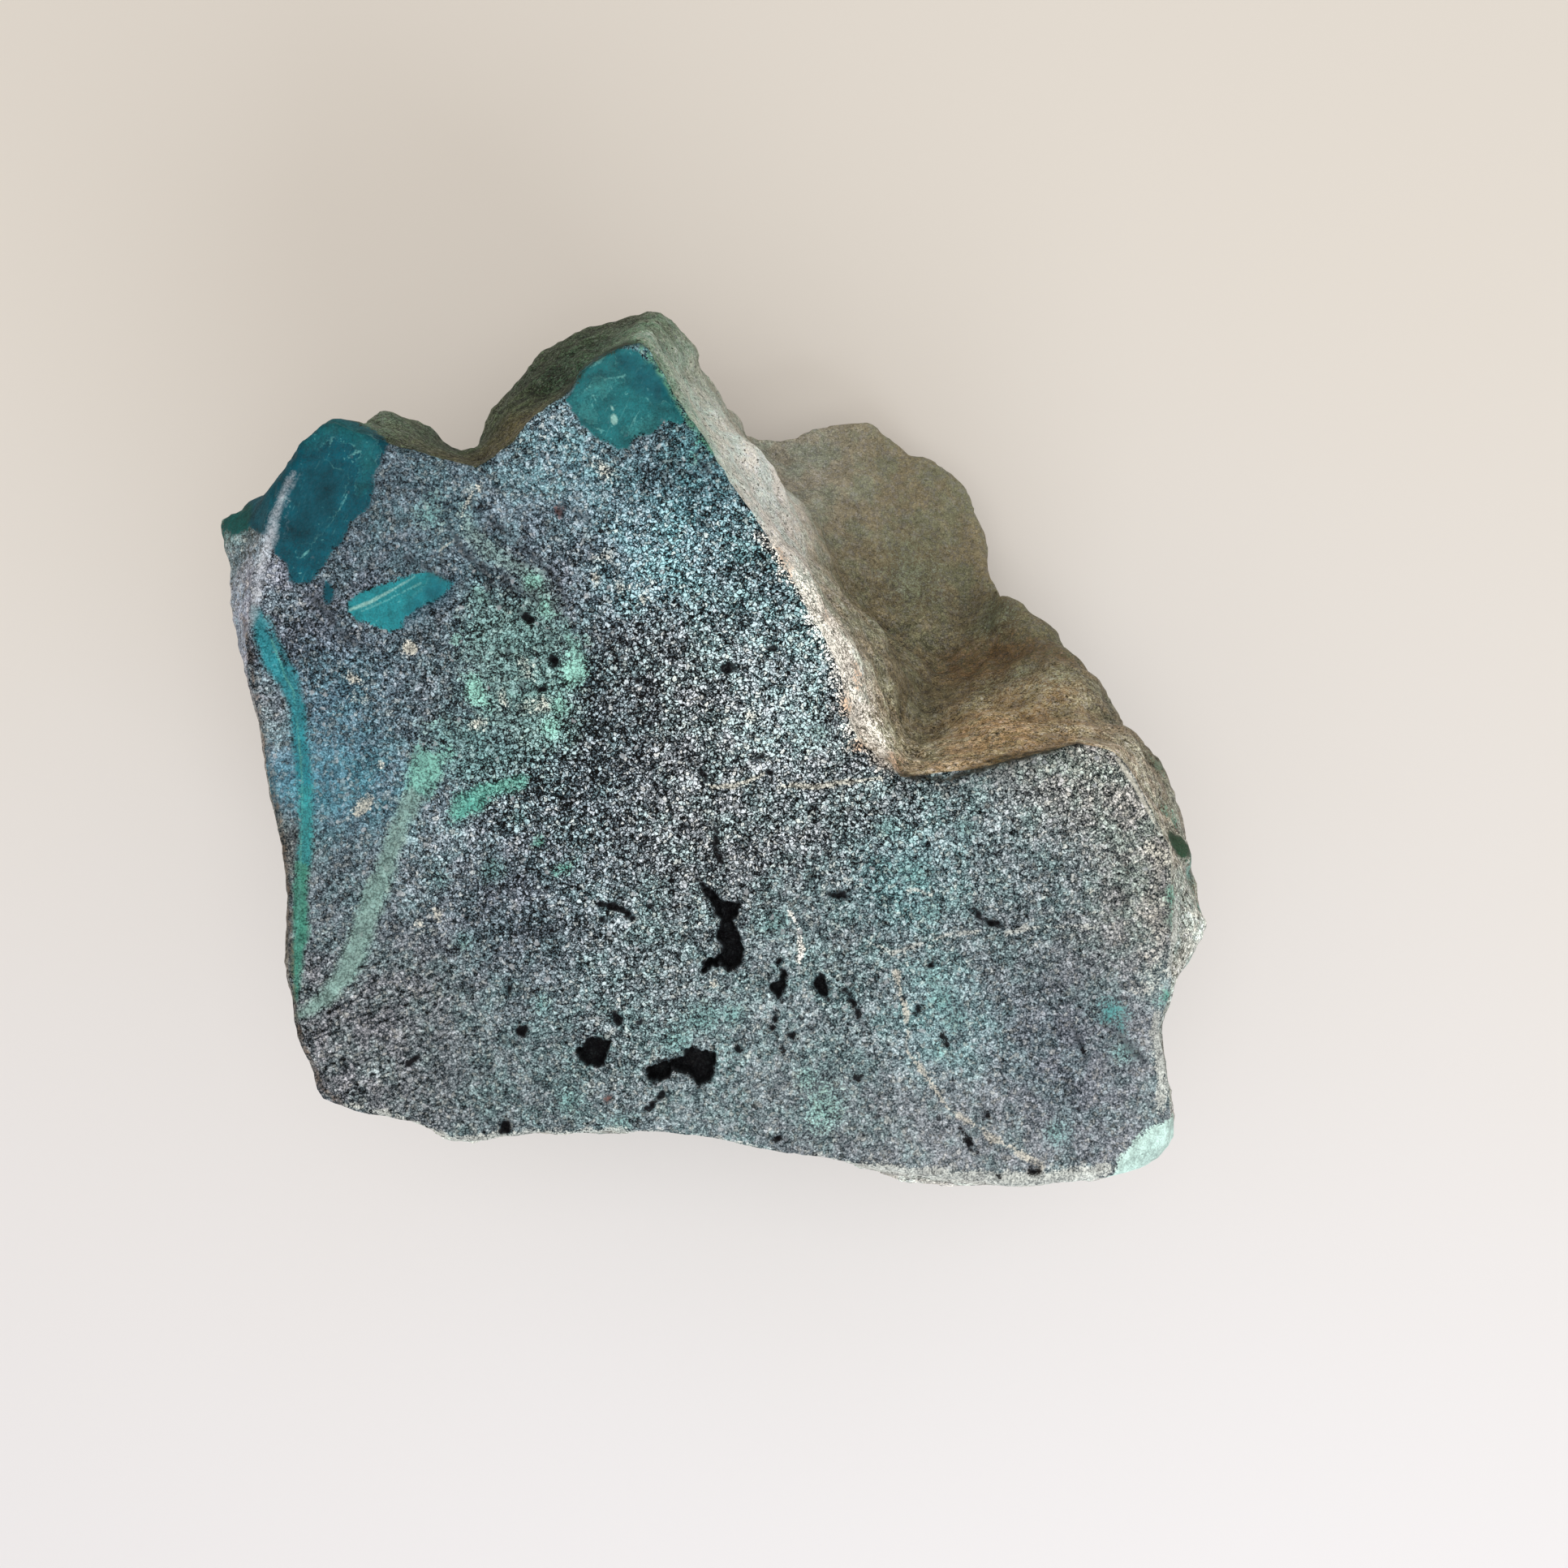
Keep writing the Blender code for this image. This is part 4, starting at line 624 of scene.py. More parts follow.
# What the natural sides are like, in regions that have their own colours and fade into one another too
Side = namedtuple("Side", "x y z reach colour contrast")
SIDE_REGIONS = {
    # The peak's east wall is painted very pale: partly its own light grey, partly painted light for the
    # grazing light that falls on it
    "peak_wall": Side(1.0, 23.0, 28.0, 7.0, (246, 250, 255), 14),
    "peak_wall_top": Side(-4.6, 26.6, 37.0, 1.6, (206, 220, 218), 20),
    # painted light along the top of the peak's east wall, over its own light grey
    "peak_wall_edge": Side(-2.2, 23.6, 33.0, 4.0, (252, 254, 255), 16),
    "peak_wall_low": Side(4.0, 25.0, 14.0, 4.4, (172, 174, 168), 14),
    "peak_wall_foot": Side(4.6, 15.0, 33.0, 3.2, (208, 208, 206), 26),
    "notch_wall_rim": Side(8.6, 3.6, 38.0, 3.0, (222, 218, 208), 52),
    "notch_wall": Side(9.6, 8.0, 28.0, 4.6, (150, 143, 119), 26),
    "notch_wall_low": Side(14.0, 8.0, 19.0, 5.0, (120, 114, 90), 20),
    "shelf": Side(15.0, 20.0, 9.0, 8.0, (129, 123, 101), 8),
    "shelf_east": Side(23.0, 10.0, 17.0, 5.5, (112, 107, 86), 10),
    # painted shade: the crease below the shelf is painted dark brown for the shade in it
    "crease": Side(20.0, 4.4, 20.0, 2.6, (116, 90, 60), 14),
    "notch_floor": Side(21.0, -0.5, 34.0, 4.6, (188, 156, 108), 30),
    "notch_floor_west": Side(13.2, -1.0, 33.8, 2.8, (188, 178, 144), 44),
    "east_bevel": Side(30.2, -4.5, 36.5, 3.4, (184, 174, 152), 44),
    "east_bevel_low": Side(32.0, -2.0, 26.0, 4.0, (116, 110, 90), 18),
    # painted shade: the back of the peak faces away from the key light and is painted near black over its own
    # dark green
    "peak_back": Side(-9.5, 26.6, 35.0, 6.0, (12, 26, 16), 16),
    "peak_back_low": Side(-10.0, 29.0, 24.0, 5.5, (52, 62, 48), 18),
    "peak_back_rim": Side(-13.8, 21.2, 38.0, 1.8, (128, 106, 74), 16),
    "saddle_back": Side(-16.5, 19.5, 34.0, 3.0, (112, 94, 62), 18),
    "lobe_back": Side(-23.0, 21.0, 33.0, 3.4, (94, 110, 94), 18),
    "lobe_back_low": Side(-23.0, 22.5, 26.0, 4.0, (84, 98, 82), 20),
    "lobe_back_east": Side(-18.6, 20.6, 33.0, 1.8, (48, 72, 54), 14),
    "lobe_tip": Side(-33.5, 15.0, 33.0, 3.6, (60, 88, 80), 26),
    "west_rim": Side(-33.0, 8.0, 38.5, 3.6, (150, 157, 182), 30),
    "west_rim_low": Side(-32.0, -4.0, 37.5, 3.0, (140, 140, 140), 48),
    "west": Side(-31.0, -10.0, 27.0, 9.0, (104, 101, 98), 34),
    "west_low": Side(-28.0, -5.0, 8.0, 10.0, (98, 95, 88), 28),
    # The south rim is painted near white: partly its own pale crumbly rock, partly painted light for the
    # south side facing the key light
    "south_rim": Side(2.0, -30.0, 37.0, 5.0, (206, 208, 204), 50),
    "south_rim_west": Side(-20.0, -28.0, 37.0, 5.0, (192, 194, 190), 44),
    "south_rim_east": Side(20.0, -32.4, 37.0, 5.0, (192, 192, 188), 48),
    "south": Side(0.0, -30.0, 25.0, 10.0, (138, 142, 138), 34),
    "south_low": Side(0.0, -28.0, 8.0, 12.0, (108, 106, 97), 28),
    "east_bulge": Side(33.0, -15.0, 35.0, 3.0, (180, 194, 190), 52),
    "east_bulge_top": Side(33.6, -12.0, 34.0, 1.0, (86, 76, 58), 26),
    "east": Side(33.0, -16.0, 28.0, 8.0, (146, 148, 144), 36),
    "east_low": Side(31.0, -14.0, 9.0, 10.0, (100, 97, 86), 26),
    "north_low": Side(-12.0, 25.0, 9.0, 10.0, (84, 82, 66), 22),
}


# --- The stone's mesh ---

# Mesh sizes
VOXEL = 0.5             # of the sides' mesh
SAWN_STEP = 0.33        # between points of the sawn face
PIT_STEP = 0.13         # between points at a pit's wall or a thin line
FOOT_STEP = 1.6         # between points of the foot
ROW_STEP = math.sqrt(0.75)      # between rows of a scatter, as a share of its step
SCATTER = 0.22          # how far a point is off its spot, as a share of the step
PIT_COLLAR = 0.12       # the close points reach this far either side of a pit's wall
LINE_MARGIN = 0.3       # and this far from a thin line
LARGE_PIT_MARGIN = 0.6  # they are looked for in a box round each pit, wider than the pit by this
SMALL_PIT_MARGIN = 0.5
RIM_CLEARANCE = 0.16    # between a flat face's outline and the points inside it
OVERRUN = 2.0           # how far the sides are drawn out past the two flat faces before they are cut
WELD = 0.001            # points and levels this close together are one
RIM_WELD = 0.12         # and so are points this close along a flat face's outline
KEEP_INSIDE = 1         # the triangulation keeps the triangles inside the outline
SAME_PLACE = 1e-6       # and takes points this close together as one

# Relief of the fractured sides: the size of its swells and how high they stand
FRACTURE = ((5.0, 0.22), (2.3, 0.14), (1.1, 0.10), (0.55, 0.06))
CRUMBLE = ((1.2, 0.11), (0.5, 0.09))
FACET_SIZE = 3.4
FACET_HEIGHT = 0.34
FACET_MIDDLE = 0.55     # a facet stands out this far round its middle, as a share of its size
FACET_BEND = 0.35       # how far the facets' edges bend, as a share of their size
RIM_EASE = 3.5          # below this depth the sides have their full relief
RIM_SHARE = 0.18        # and this share of it at the sawn edge
PLUMPNESS = 0.10        # makes up for what the smoothing takes off
SMOOTHING = 0.5         # how far a pass moves a point towards its neighbours
SMOOTHING_PASSES = 2

# Rounded knobs that stand out of the sides: x, y, height, radius and how far they stand out
KNOBS = ((32.3, -9.6, 34.4, 1.5, 0.7), (32.4, -14.6, 36.0, 2.6, 0.35), (-34.2, 12.6, 36.6, 1.6, 0.3))
KNOB_ROUNDNESS = 0.7    # the power of a knob's profile

# Chips along the sawn edge
CHIP_REACH = 2.6        # how far down the sides a chip pulls the surface
CHIP_LIMIT = 4.0        # no chip reaches further in than this
CHIP_WIDTH = 0.9
CHIP_DEPTH = 0.55
CHIP_SIZE = 2.2         # how long a chip runs
CHIP_LAYER = 21.0       # and the layer of noise that it comes from
NICK_SIZE = CHIP_SIZE / 3       # nicks are small chips on the chips
NICK_LAYER = 5.0
NICK_SHARE = 0.5
CHIP_COMMON = 0.35      # the more this is, the more of the edge is chipped
LEAST_CHIP = 0.05       # narrower chips are left out
CORNER_LINE = ((26.3, -31.2), (30.4, -27.3))    # the inner edge of the broken corner's facet
CORNER_SLOPE = 0.5      # the facet's fall for each millimetre outwards
CORNER_WIDTH = 4.0

# Pits
PIT_WALL = 0.22         # how wide a pit's steep wall is
PIT_RAGGED = ((0.6, 3.0, 0.14), (0.3, 9.0, 0.224))  # its edge's ripples: their size, layer and height
PIT_RAGGED_REACH = 1.0  # how far out from the pits the ripples are worked out
SMALL_PIT_DEPTH = 0.55
SMALL_PIT_SLOPE = 2.2   # and no small pit is deeper than this many times its radius
PIT_FLOOR = 0.85        # the floor's middle depth, as a share of the pit's
PIT_FLOOR_RELIEF = 0.3  # how far it varies
PIT_FLOOR_RIPPLE = 0.4  # and the size of its ripples

# Painted light on ridges and painted shade in hollows
RELIEF_SHADE_PASSES = 4         # the surface is compared with itself smoothed this many times
RELIEF_SHADE_HEIGHT = 0.16      # a point that stands out this far gets the full painted light or shade
MOST_RELIEF_SHADE = 1.5


def linked(name, data):
    """A new object that is part of the scene."""
    made = bpy.data.objects.new(name, data)
    bpy.context.scene.collection.objects.link(made)
    return made


def swell(at, octaves):
    """Smooth noise at a place: swells of several sizes, each with its own height."""
    return sum(noise.noise(at / size + Vector((size, 0, 0))) * height for size, height in octaves)


def ripple(place, size, layer):
    """Smooth noise on the sawn face, from about -1 to 1. Each layer has its own."""
    return noise.noise(Vector((*place, layer)) / size)


def smooth_step(value):
    """Goes from 0 to 1 with an easy start and end."""
    value = np.clip(value, 0, 1)
    return value * value * (3 - 2 * value)


def coordinates(mesh):
    """A mesh's points in millimetres."""
    flat = np.empty(len(mesh.vertices) * 3)
    mesh.vertices.foreach_get("co", flat)
    return flat.reshape(-1, 3) / MM


def values_of(mesh, name):
    values = np.empty(len(mesh.vertices))
    mesh.attributes[name].data.foreach_get("value", values)
    return values


def write_values(mesh, name, values):
    mesh.attributes.new(name, "FLOAT", "POINT").data.foreach_set("value", np.asarray(values, np.float32))


def write_colours(mesh, name, rows):
    flat = np.asarray(rows, np.float32).ravel()
    mesh.attributes.new(name, "FLOAT_COLOR", "POINT").data.foreach_set("color", flat)


def opened(node):
    """The CAD stone's natural sides, without the sawn face, its pits and the resting facet."""
    shell = bmesh.new()
    shell.from_mesh(node.data)
    bmesh.ops.remove_doubles(shell, verts=shell.verts, dist=WELD * MM)
    levels = (0.0, SAWN_HEIGHT * MM)
    flat = [f for f in shell.faces
            if any(all(abs(v.co.z - level) < WELD * MM for v in f.verts) for level in levels)]
    bmesh.ops.delete(shell, geom=flat, context="FACES")
    # The sides hang together with the foot's edge, and the walls of the pits don't
    start = min(shell.verts, key=lambda v: v.co.z)
    kept, reached = {start}, [start]
    while reached:
        vert = reached.pop()
        for edge in vert.link_edges:
            other = edge.other_vert(vert)
            if other not in kept:
                kept.add(other)
                reached.append(other)
    bmesh.ops.delete(shell, geom=[v for v in shell.verts if v not in kept], context="VERTS")
    return shell


def rim_edges(shell, height):
    """The open edges that lie at a height."""
    return [e for e in shell.edges
            if e.is_boundary and all(abs(v.co.z - height * MM) < WELD * MM for v in e.verts)]


def drawn_out(shell, height, step):
    """Carries the opening at a height straight up or down by a step and closes it there."""
    made = bmesh.ops.extrude_edge_only(shell, edges=rim_edges(shell, height))["geom"]
    verts = [g for g in made if isinstance(g, bmesh.types.BMVert)]
    bmesh.ops.translate(shell, verts=verts, vec=(0, 0, step * MM))
    bmesh.ops.triangle_fill(shell, edges=rim_edges(shell, height + step), use_beauty=True)


def remeshed(shell, voxel):
    """The closed shell with even faces of about a voxel's size."""
    mesh = bpy.data.meshes.new("shell")
    bmesh.ops.recalc_face_normals(shell, faces=shell.faces)
    shell.to_mesh(mesh)
    shell.free()
    holder = linked("shell", mesh)
    remesh = holder.modifiers.new("even faces", "REMESH")
    remesh.mode = "VOXEL"
    remesh.voxel_size = voxel * MM
    evaluated = holder.evaluated_get(bpy.context.evaluated_depsgraph_get())
    body = bmesh.new()
    body.from_mesh(evaluated.to_mesh())
    evaluated.to_mesh_clear()
    bpy.data.objects.remove(holder)
    bpy.data.meshes.remove(mesh)
    return body


def fracture_relief(at):
    """How far the fractured surface stands out at a place, in millimetres."""
    bent = at / FACET_SIZE + noise.noise_vector(at / FACET_SIZE) * FACET_BEND
    from_middle = noise.voronoi(bent, distance_metric="MANHATTAN")[0][0]
    rise = swell(at, FRACTURE) + (FACET_MIDDLE - from_middle) * FACET_HEIGHT
    ease = min(1.0, max(0.0, (SAWN_HEIGHT - at.z) / RIM_EASE))
    knob = 0.0
    for x, y, z, radius, height in KNOBS:
        share = max(0.0, 1 - (at - Vector((x, y, z))).length_squared / radius ** 2)
        knob += height * share ** KNOB_ROUNDNESS
    return rise * (RIM_SHARE + (1 - RIM_SHARE) * ease * ease) + swell(at, CRUMBLE) + knob + PLUMPNESS


def roughened(body):
    """Gives the sides their fracture relief, inside the CAD box."""
    for _ in range(SMOOTHING_PASSES):
        bmesh.ops.smooth_vert(body, verts=body.verts, factor=SMOOTHING,
                              use_axis_x=True, use_axis_y=True, use_axis_z=True)
    body.normal_update()
    noise.seed_set(SEED)        # noise_vector draws its shifts from this
    moved = [v.co + v.normal * fracture_relief(v.co / MM) * MM for v in body.verts]
    for vert, place in zip(body.verts, moved):
        for axis in (0, 1):
            place[axis] = min(max(place[axis], cad_low[axis]), cad_high[axis])
        vert.co = place


def rim_loops(body, height):
    """The outlines of the openings at a height, the longest first."""
    open_edges = dict.fromkeys(rim_edges(body, height))
    loops = []
    while open_edges:
        edge, _ = open_edges.popitem()
        loop = list(edge.verts)
        while onward := [e for e in loop[-1].link_edges if e in open_edges]:
            del open_edges[onward[0]]
            loop.append(onward[0].other_vert(loop[-1]))
        loops.append(loop[:-1] if loop[0] == loop[-1] else loop)
    return sorted(loops, key=len, reverse=True)


def cut_level(body, height, upwards):
    """Cuts the body off at a height and returns the cut's outlines, the longest first."""
    geom = [*body.verts, *body.edges, *body.faces]
    bmesh.ops.bisect_plane(body, geom=geom, dist=WELD * MM, plane_co=(0, 0, height * MM),
                           plane_no=(0, 0, 1 if upwards else -1), clear_outer=True)
    rim = dict.fromkeys(v for e in rim_edges(body, height) for v in e.verts)
    bmesh.ops.remove_doubles(body, verts=list(rim), dist=RIM_WELD * MM)
    return rim_loops(body, height)


def seen_from_above(loop):
    """A loop's points as places in millimetres."""
    return [(v.co.x / MM, v.co.y / MM) for v in loop]


def box_of(outline):
    """The low and high corners of an outline's box."""
    corners = np.array(outline)
    return corners.min(axis=0), corners.max(axis=0)


def scattered(low, high, step, random):
    """Places in a box on a staggered grid, each a little off its spot."""
    columns = np.arange(low[0], high[0], step)
    rows = np.arange(low[1], high[1], step * ROW_STEP)
    x, y = np.meshgrid(columns, rows)
    x = x + (np.arange(len(rows)) % 2)[:, None] * step / 2
    places = np.stack([x.ravel(), y.ravel()], axis=1)
    return places + random.uniform(-SCATTER, SCATTER, places.shape) * step


def levelled(places):
    """Places as points of the sawn face."""
    return np.column_stack([places, np.zeros(len(places))])


def pit_reach(places):
    """Each place's signed distance from the nearest pit's ragged edge, and that pit's depth."""
    nearest = np.full(len(places), FAR)
    depth = np.zeros(len(places))
    level = levelled(places)
    pits = [(deep, outline_reach(places, outline)) for deep, outline in LARGE_PITS.values()]
    pits += [(min(SMALL_PIT_DEPTH, SMALL_PIT_SLOPE * pit[2]), spots(pit)(level)) for pit in SMALL_PITS]
    for deep, reach in pits:
        closer = reach < nearest
        nearest[closer] = reach[closer]
        depth[closer] = deep
    for i in np.flatnonzero(nearest < PIT_RAGGED_REACH):
        nearest[i] += sum(ripple(places[i], size, layer) * height for size, layer, height in PIT_RAGGED)
    return nearest, depth


def at_pit_wall(places):
    """Whether each place is at a pit's wall, where the points are close together."""
    return np.abs(pit_reach(places)[0] + PIT_WALL / 2) < PIT_WALL + PIT_COLLAR


def thin_line_reach(places):
    """Distance from the nearest of the markings that are too thin for the even scatter of points."""
    level = levelled(places)
    return nearest_of(shape(level) for kind, _, shape in OVERLAYS.values() if kind in THIN_KINDS)


def pit_boxes():
    """A box round each pit, with a margin."""
    for _, outline in LARGE_PITS.values():
        low, high = box_of(outline)
        yield low - LARGE_PIT_MARGIN, high + LARGE_PIT_MARGIN
    for x, y, radius, longer, _ in SMALL_PITS:
        middle = np.array((x, y))
        yield middle - radius * longer - SMALL_PIT_MARGIN, middle + radius * longer + SMALL_PIT_MARGIN


def sawn_places(outline, random):
    """Places for the sawn face's points: an even scatter, closer together round the pits and thin lines."""
    even = scattered(*box_of(outline), SAWN_STEP, random)
    fine = scattered(*box_of(outline), PIT_STEP, random)
    boxed = np.zeros(len(fine), bool)
    for low, high in pit_boxes():
        boxed |= (fine > low).all(axis=1) & (fine < high).all(axis=1)
    round_pits = fine[boxed]
    round_pits = round_pits[at_pit_wall(round_pits)]
    by_lines = fine[~boxed & (thin_line_reach(fine) < LINE_MARGIN)]
    even = even[~at_pit_wall(even)]
    even = even[thin_line_reach(even) >= LINE_MARGIN]
    return np.concatenate([even, round_pits, by_lines])


def capped(body, loop, places, height, upwards):
    """Fills a level outline with triangles through the places. The upper one's points are marked as sawn."""
    mark = body.verts.layers.float["sawn"]
    outline = seen_from_above(loop)
    inside = places[outline_reach(places, outline) < -RIM_CLEARANCE]
    flat = [Vector(place) for place in (*outline, *inside)]
    count = len(loop)
    ring = [(i, (i + 1) % count) for i in range(count)]
    found, _, faces, origins, _, _ = geometry.delaunay_2d_cdt(flat, ring, [], KEEP_INSIDE, SAME_PLACE)
    verts = []
    for place, origin in zip(found, origins):
        if origin and origin[0] < count:
            verts.append(loop[origin[0]])
        else:
            verts.append(body.verts.new((place.x * MM, place.y * MM, height * MM)))
        if upwards:
            verts[-1][mark] = 1.0
    for face in faces:
        corners = [verts[i] for i in (face if upwards else reversed(face))]
        if len(set(corners)) == len(corners):
            body.faces.new(corners)


def flat_faces(body):
    """Cuts the body off at the sawn face and the foot, fills both, and returns the sawn face's outline."""
    body.verts.layers.float.new("sawn")
    random = np.random.default_rng(SEED)
    top, *specks = cut_level(body, SAWN_HEIGHT, True)
    foot, *foot_specks = cut_level(body, 0.0, False)
    for loop in specks + foot_specks:
        if len(loop) > 2:
            body.faces.new(loop)
    outline = seen_from_above(top)
    capped(body, top, sawn_places(outline, random), SAWN_HEIGHT, True)
    foot_places = scattered(*box_of(seen_from_above(foot)), FOOT_STEP, random)
    capped(body, foot, foot_places, 0.0, False)
    return outline


def chip_width(place):
    """How far in the chip at a place on the sawn edge runs."""
    broad = ripple(place, CHIP_SIZE, CHIP_LAYER)
    fine = ripple(place, NICK_SIZE, NICK_LAYER)
    return CHIP_WIDTH * max(0.0, CHIP_COMMON + broad + NICK_SHARE * fine)


def chip_drop(points, outline):
    """How far chips lower the sawn face and the sides just below it, at each point."""
    rim = np.abs(outline_reach(points[:, :2], outline))
    drop = np.zeros(len(points))
    for i in np.flatnonzero(rim < CHIP_LIMIT):
        width = chip_width(points[i, :2])
        if width > LEAST_CHIP:
            drop[i] = CHIP_DEPTH * width * max(0.0, 1 - rim[i] / width)
    return drop


def corner_drop(points):
    """How far the broken corner's facet lies below the sawn plane, at each point."""
    (ax, ay), (bx, by) = CORNER_LINE
    along = np.array((bx - ax, by - ay)) / math.hypot(bx - ax, by - ay)
    outward = (points[:, 0] - ax) * along[1] - (points[:, 1] - ay) * along[0]
    return np.clip(outward, 0, CORNER_WIDTH) * CORNER_SLOPE


def sawn_relief(points, sawn, outline):
    """The points lowered by chips and pits, and each point's distance from the nearest pit's edge."""
    weight = np.where(sawn > 0.5, 1.0, np.clip(1 - (SAWN_HEIGHT - points[:, 2]) / CHIP_REACH, 0, 1))
    lowered = points.copy()
    lowered[:, 2] -= (chip_drop(points, outline) + corner_drop(points)) * weight
    face = np.flatnonzero(sawn > 0.5)
    reach, depth = pit_reach(points[face, :2])
    floor = np.array([PIT_FLOOR + PIT_FLOOR_RELIEF * ripple(place, PIT_FLOOR_RIPPLE, 0.0)
                      for place in points[face, :2]])
    lowered[face, 2] -= depth * floor * smooth_step(-reach / PIT_WALL)
    pits = np.full(len(points), FAR)
    pits[face] = reach
    return lowered, pits


def write_relief_shade(mesh, points):
    """Stores how far each point stands out from its neighbours, for painted light on ridges and painted shade
    in hollows.
    """
    ends = np.empty(len(mesh.edges) * 2, np.int32)
    mesh.edges.foreach_get("vertices", ends)
    a, b = ends.reshape(-1, 2).T
    normals = np.empty(len(points) * 3)
    mesh.vertex_normals.foreach_get("vector", normals)
    normals = normals.reshape(-1, 3)
    count = np.bincount(ends, minlength=len(points)).clip(1)[:, None]

    def averaged(values):
        sums = np.stack([np.bincount(a, column[b], len(points)) + np.bincount(b, column[a], len(points))
                         for column in values.T], axis=1)
        return sums / count

    smooth = points
    for _ in range(RELIEF_SHADE_PASSES):
        smooth = averaged(smooth)
    stands_out = ((points - smooth) * normals).sum(axis=1)
    write_values(mesh, "relief_shade", np.clip(stands_out / RELIEF_SHADE_HEIGHT, -MOST_RELIEF_SHADE, MOST_RELIEF_SHADE))


def stone_mesh(node):
    """The stone's mesh. Its points know whether they are on the sawn face, how near a pit and how far they
    stand out, for painted light and shade.
    """
    shell = opened(node)
    drawn_out(shell, SAWN_HEIGHT, OVERRUN)
    drawn_out(shell, 0.0, -OVERRUN)
    body = remeshed(shell, VOXEL)
    roughened(body)
    outline = flat_faces(body)
    bmesh.ops.triangulate(body, faces=[f for f in body.faces if len(f.verts) > 3])
    bmesh.ops.recalc_face_normals(body, faces=body.faces)
    mesh = bpy.data.meshes.new("chrysocolla_rock")
    body.to_mesh(mesh)
    body.free()
    points, pits = sawn_relief(coordinates(mesh), values_of(mesh, "sawn"), outline)
    mesh.vertices.foreach_set("co", (points * MM).ravel())
    write_values(mesh, "pit", pits)
    mesh.update()
    write_relief_shade(mesh, points)
    return mesh


# --- What the rock is made of, point by point ---

DEPTH_RAGGED = 0.18     # how much more the markings' edges wander for each millimetre down the sides
RAGGED_DEPTH = 10.0     # down to this depth
LUMINANCE = (0.2126, 0.7152, 0.0722)    # how bright red, green and blue light look
LIGHTNESS_POWER = 2.2   # brightness is lightness to this power
FAINT = 1e-9            # what a far region still counts for, where there is no nearer one


def write_layer(mesh, name, markings, places):
    """Stores each point's nearest marking: the distance to its edge, its colour and how it ends."""
    edge = np.full(len(places), FAR)
    tint = np.zeros((len(places), 4))
    finish = np.zeros((len(places), 4))
    for kind, colour, shape in markings.values():
        reach = shape(places)
        closer = reach < edge
        edge[closer] = reach[closer]
        tint[closer] = (*colour, 1.0)
        finish[closer] = KINDS[kind]
    finish[:, 1] *= 1 + DEPTH_RAGGED * np.minimum(places[:, 2], RAGGED_DEPTH)
    write_values(mesh, name + "_edge", edge)
    write_colours(mesh, name + "_tint", tint)
    write_colours(mesh, name + "_finish", finish)


def hue_and_lightness(colour):
    """A colour with its brightness taken out, and how light it is from 0 to 1."""
    linear = np.array(srgb(*colour))
    brightness = linear @ LUMINANCE
    return linear / brightness, brightness ** (1 / LIGHTNESS_POWER)


def sawn_rock(region):
    """A sawn region's hue, lightness and contrast."""
    hue, _ = hue_and_lightness(HUES[region.hue])
    return (*hue, region.light / 255, region.contrast / 255)


def side_rock(region):
    """The same for a region of the natural sides."""
    hue, lightness = hue_and_lightness(region.colour)
    return (*hue, lightness, region.contrast / 255)


def blended(places, regions, rock):
    """What the rock is like at each place, faded between the regions round it."""
    centres = np.array([region[:places.shape[1]] for region in regions])
    reaches = np.array([region.reach for region in regions])
    values = np.array([rock(region) for region in regions])
    away = np.linalg.norm(places[:, None, :] - centres[None], axis=2) / reaches
    weight = np.exp(-0.5 * away ** 2) + FAINT / (1 + away ** 4)
    return (weight @ values) / weight.sum(axis=1, keepdims=True)


def write_rock(mesh, points, sawn):
    """Stores the rock's hue, lightness and contrast at each point."""
    values = blended(points[:, :2], SAWN_REGIONS.values(), sawn_rock)
    natural = sawn < 0.5
    values[natural] = blended(points[natural], SIDE_REGIONS.values(), side_rock)
    write_colours(mesh, "rock_hue", np.column_stack([values[:, :3], np.ones(len(points))]))
    write_values(mesh, "rock_light", values[:, 3])
    write_values(mesh, "rock_contrast", values[:, 4])


def write_streaks(mesh, points):
    """Stores how streaky the grain is, for each of its two directions."""
    for name, x, y, reach, most in STREAK_PLACES:
        away = np.hypot(points[:, 0] - x, points[:, 1] - y)
        write_values(mesh, name, most * np.exp(-0.5 * (away / reach) ** 2))


# --- Material ---

# A smooth noise: the size of its swells, how many finer ones ride on them, how strong those are, and the
# height of it all
Swells = namedtuple("Swells", "size detail rough height", defaults=(2.0, 0.5, 1.0))


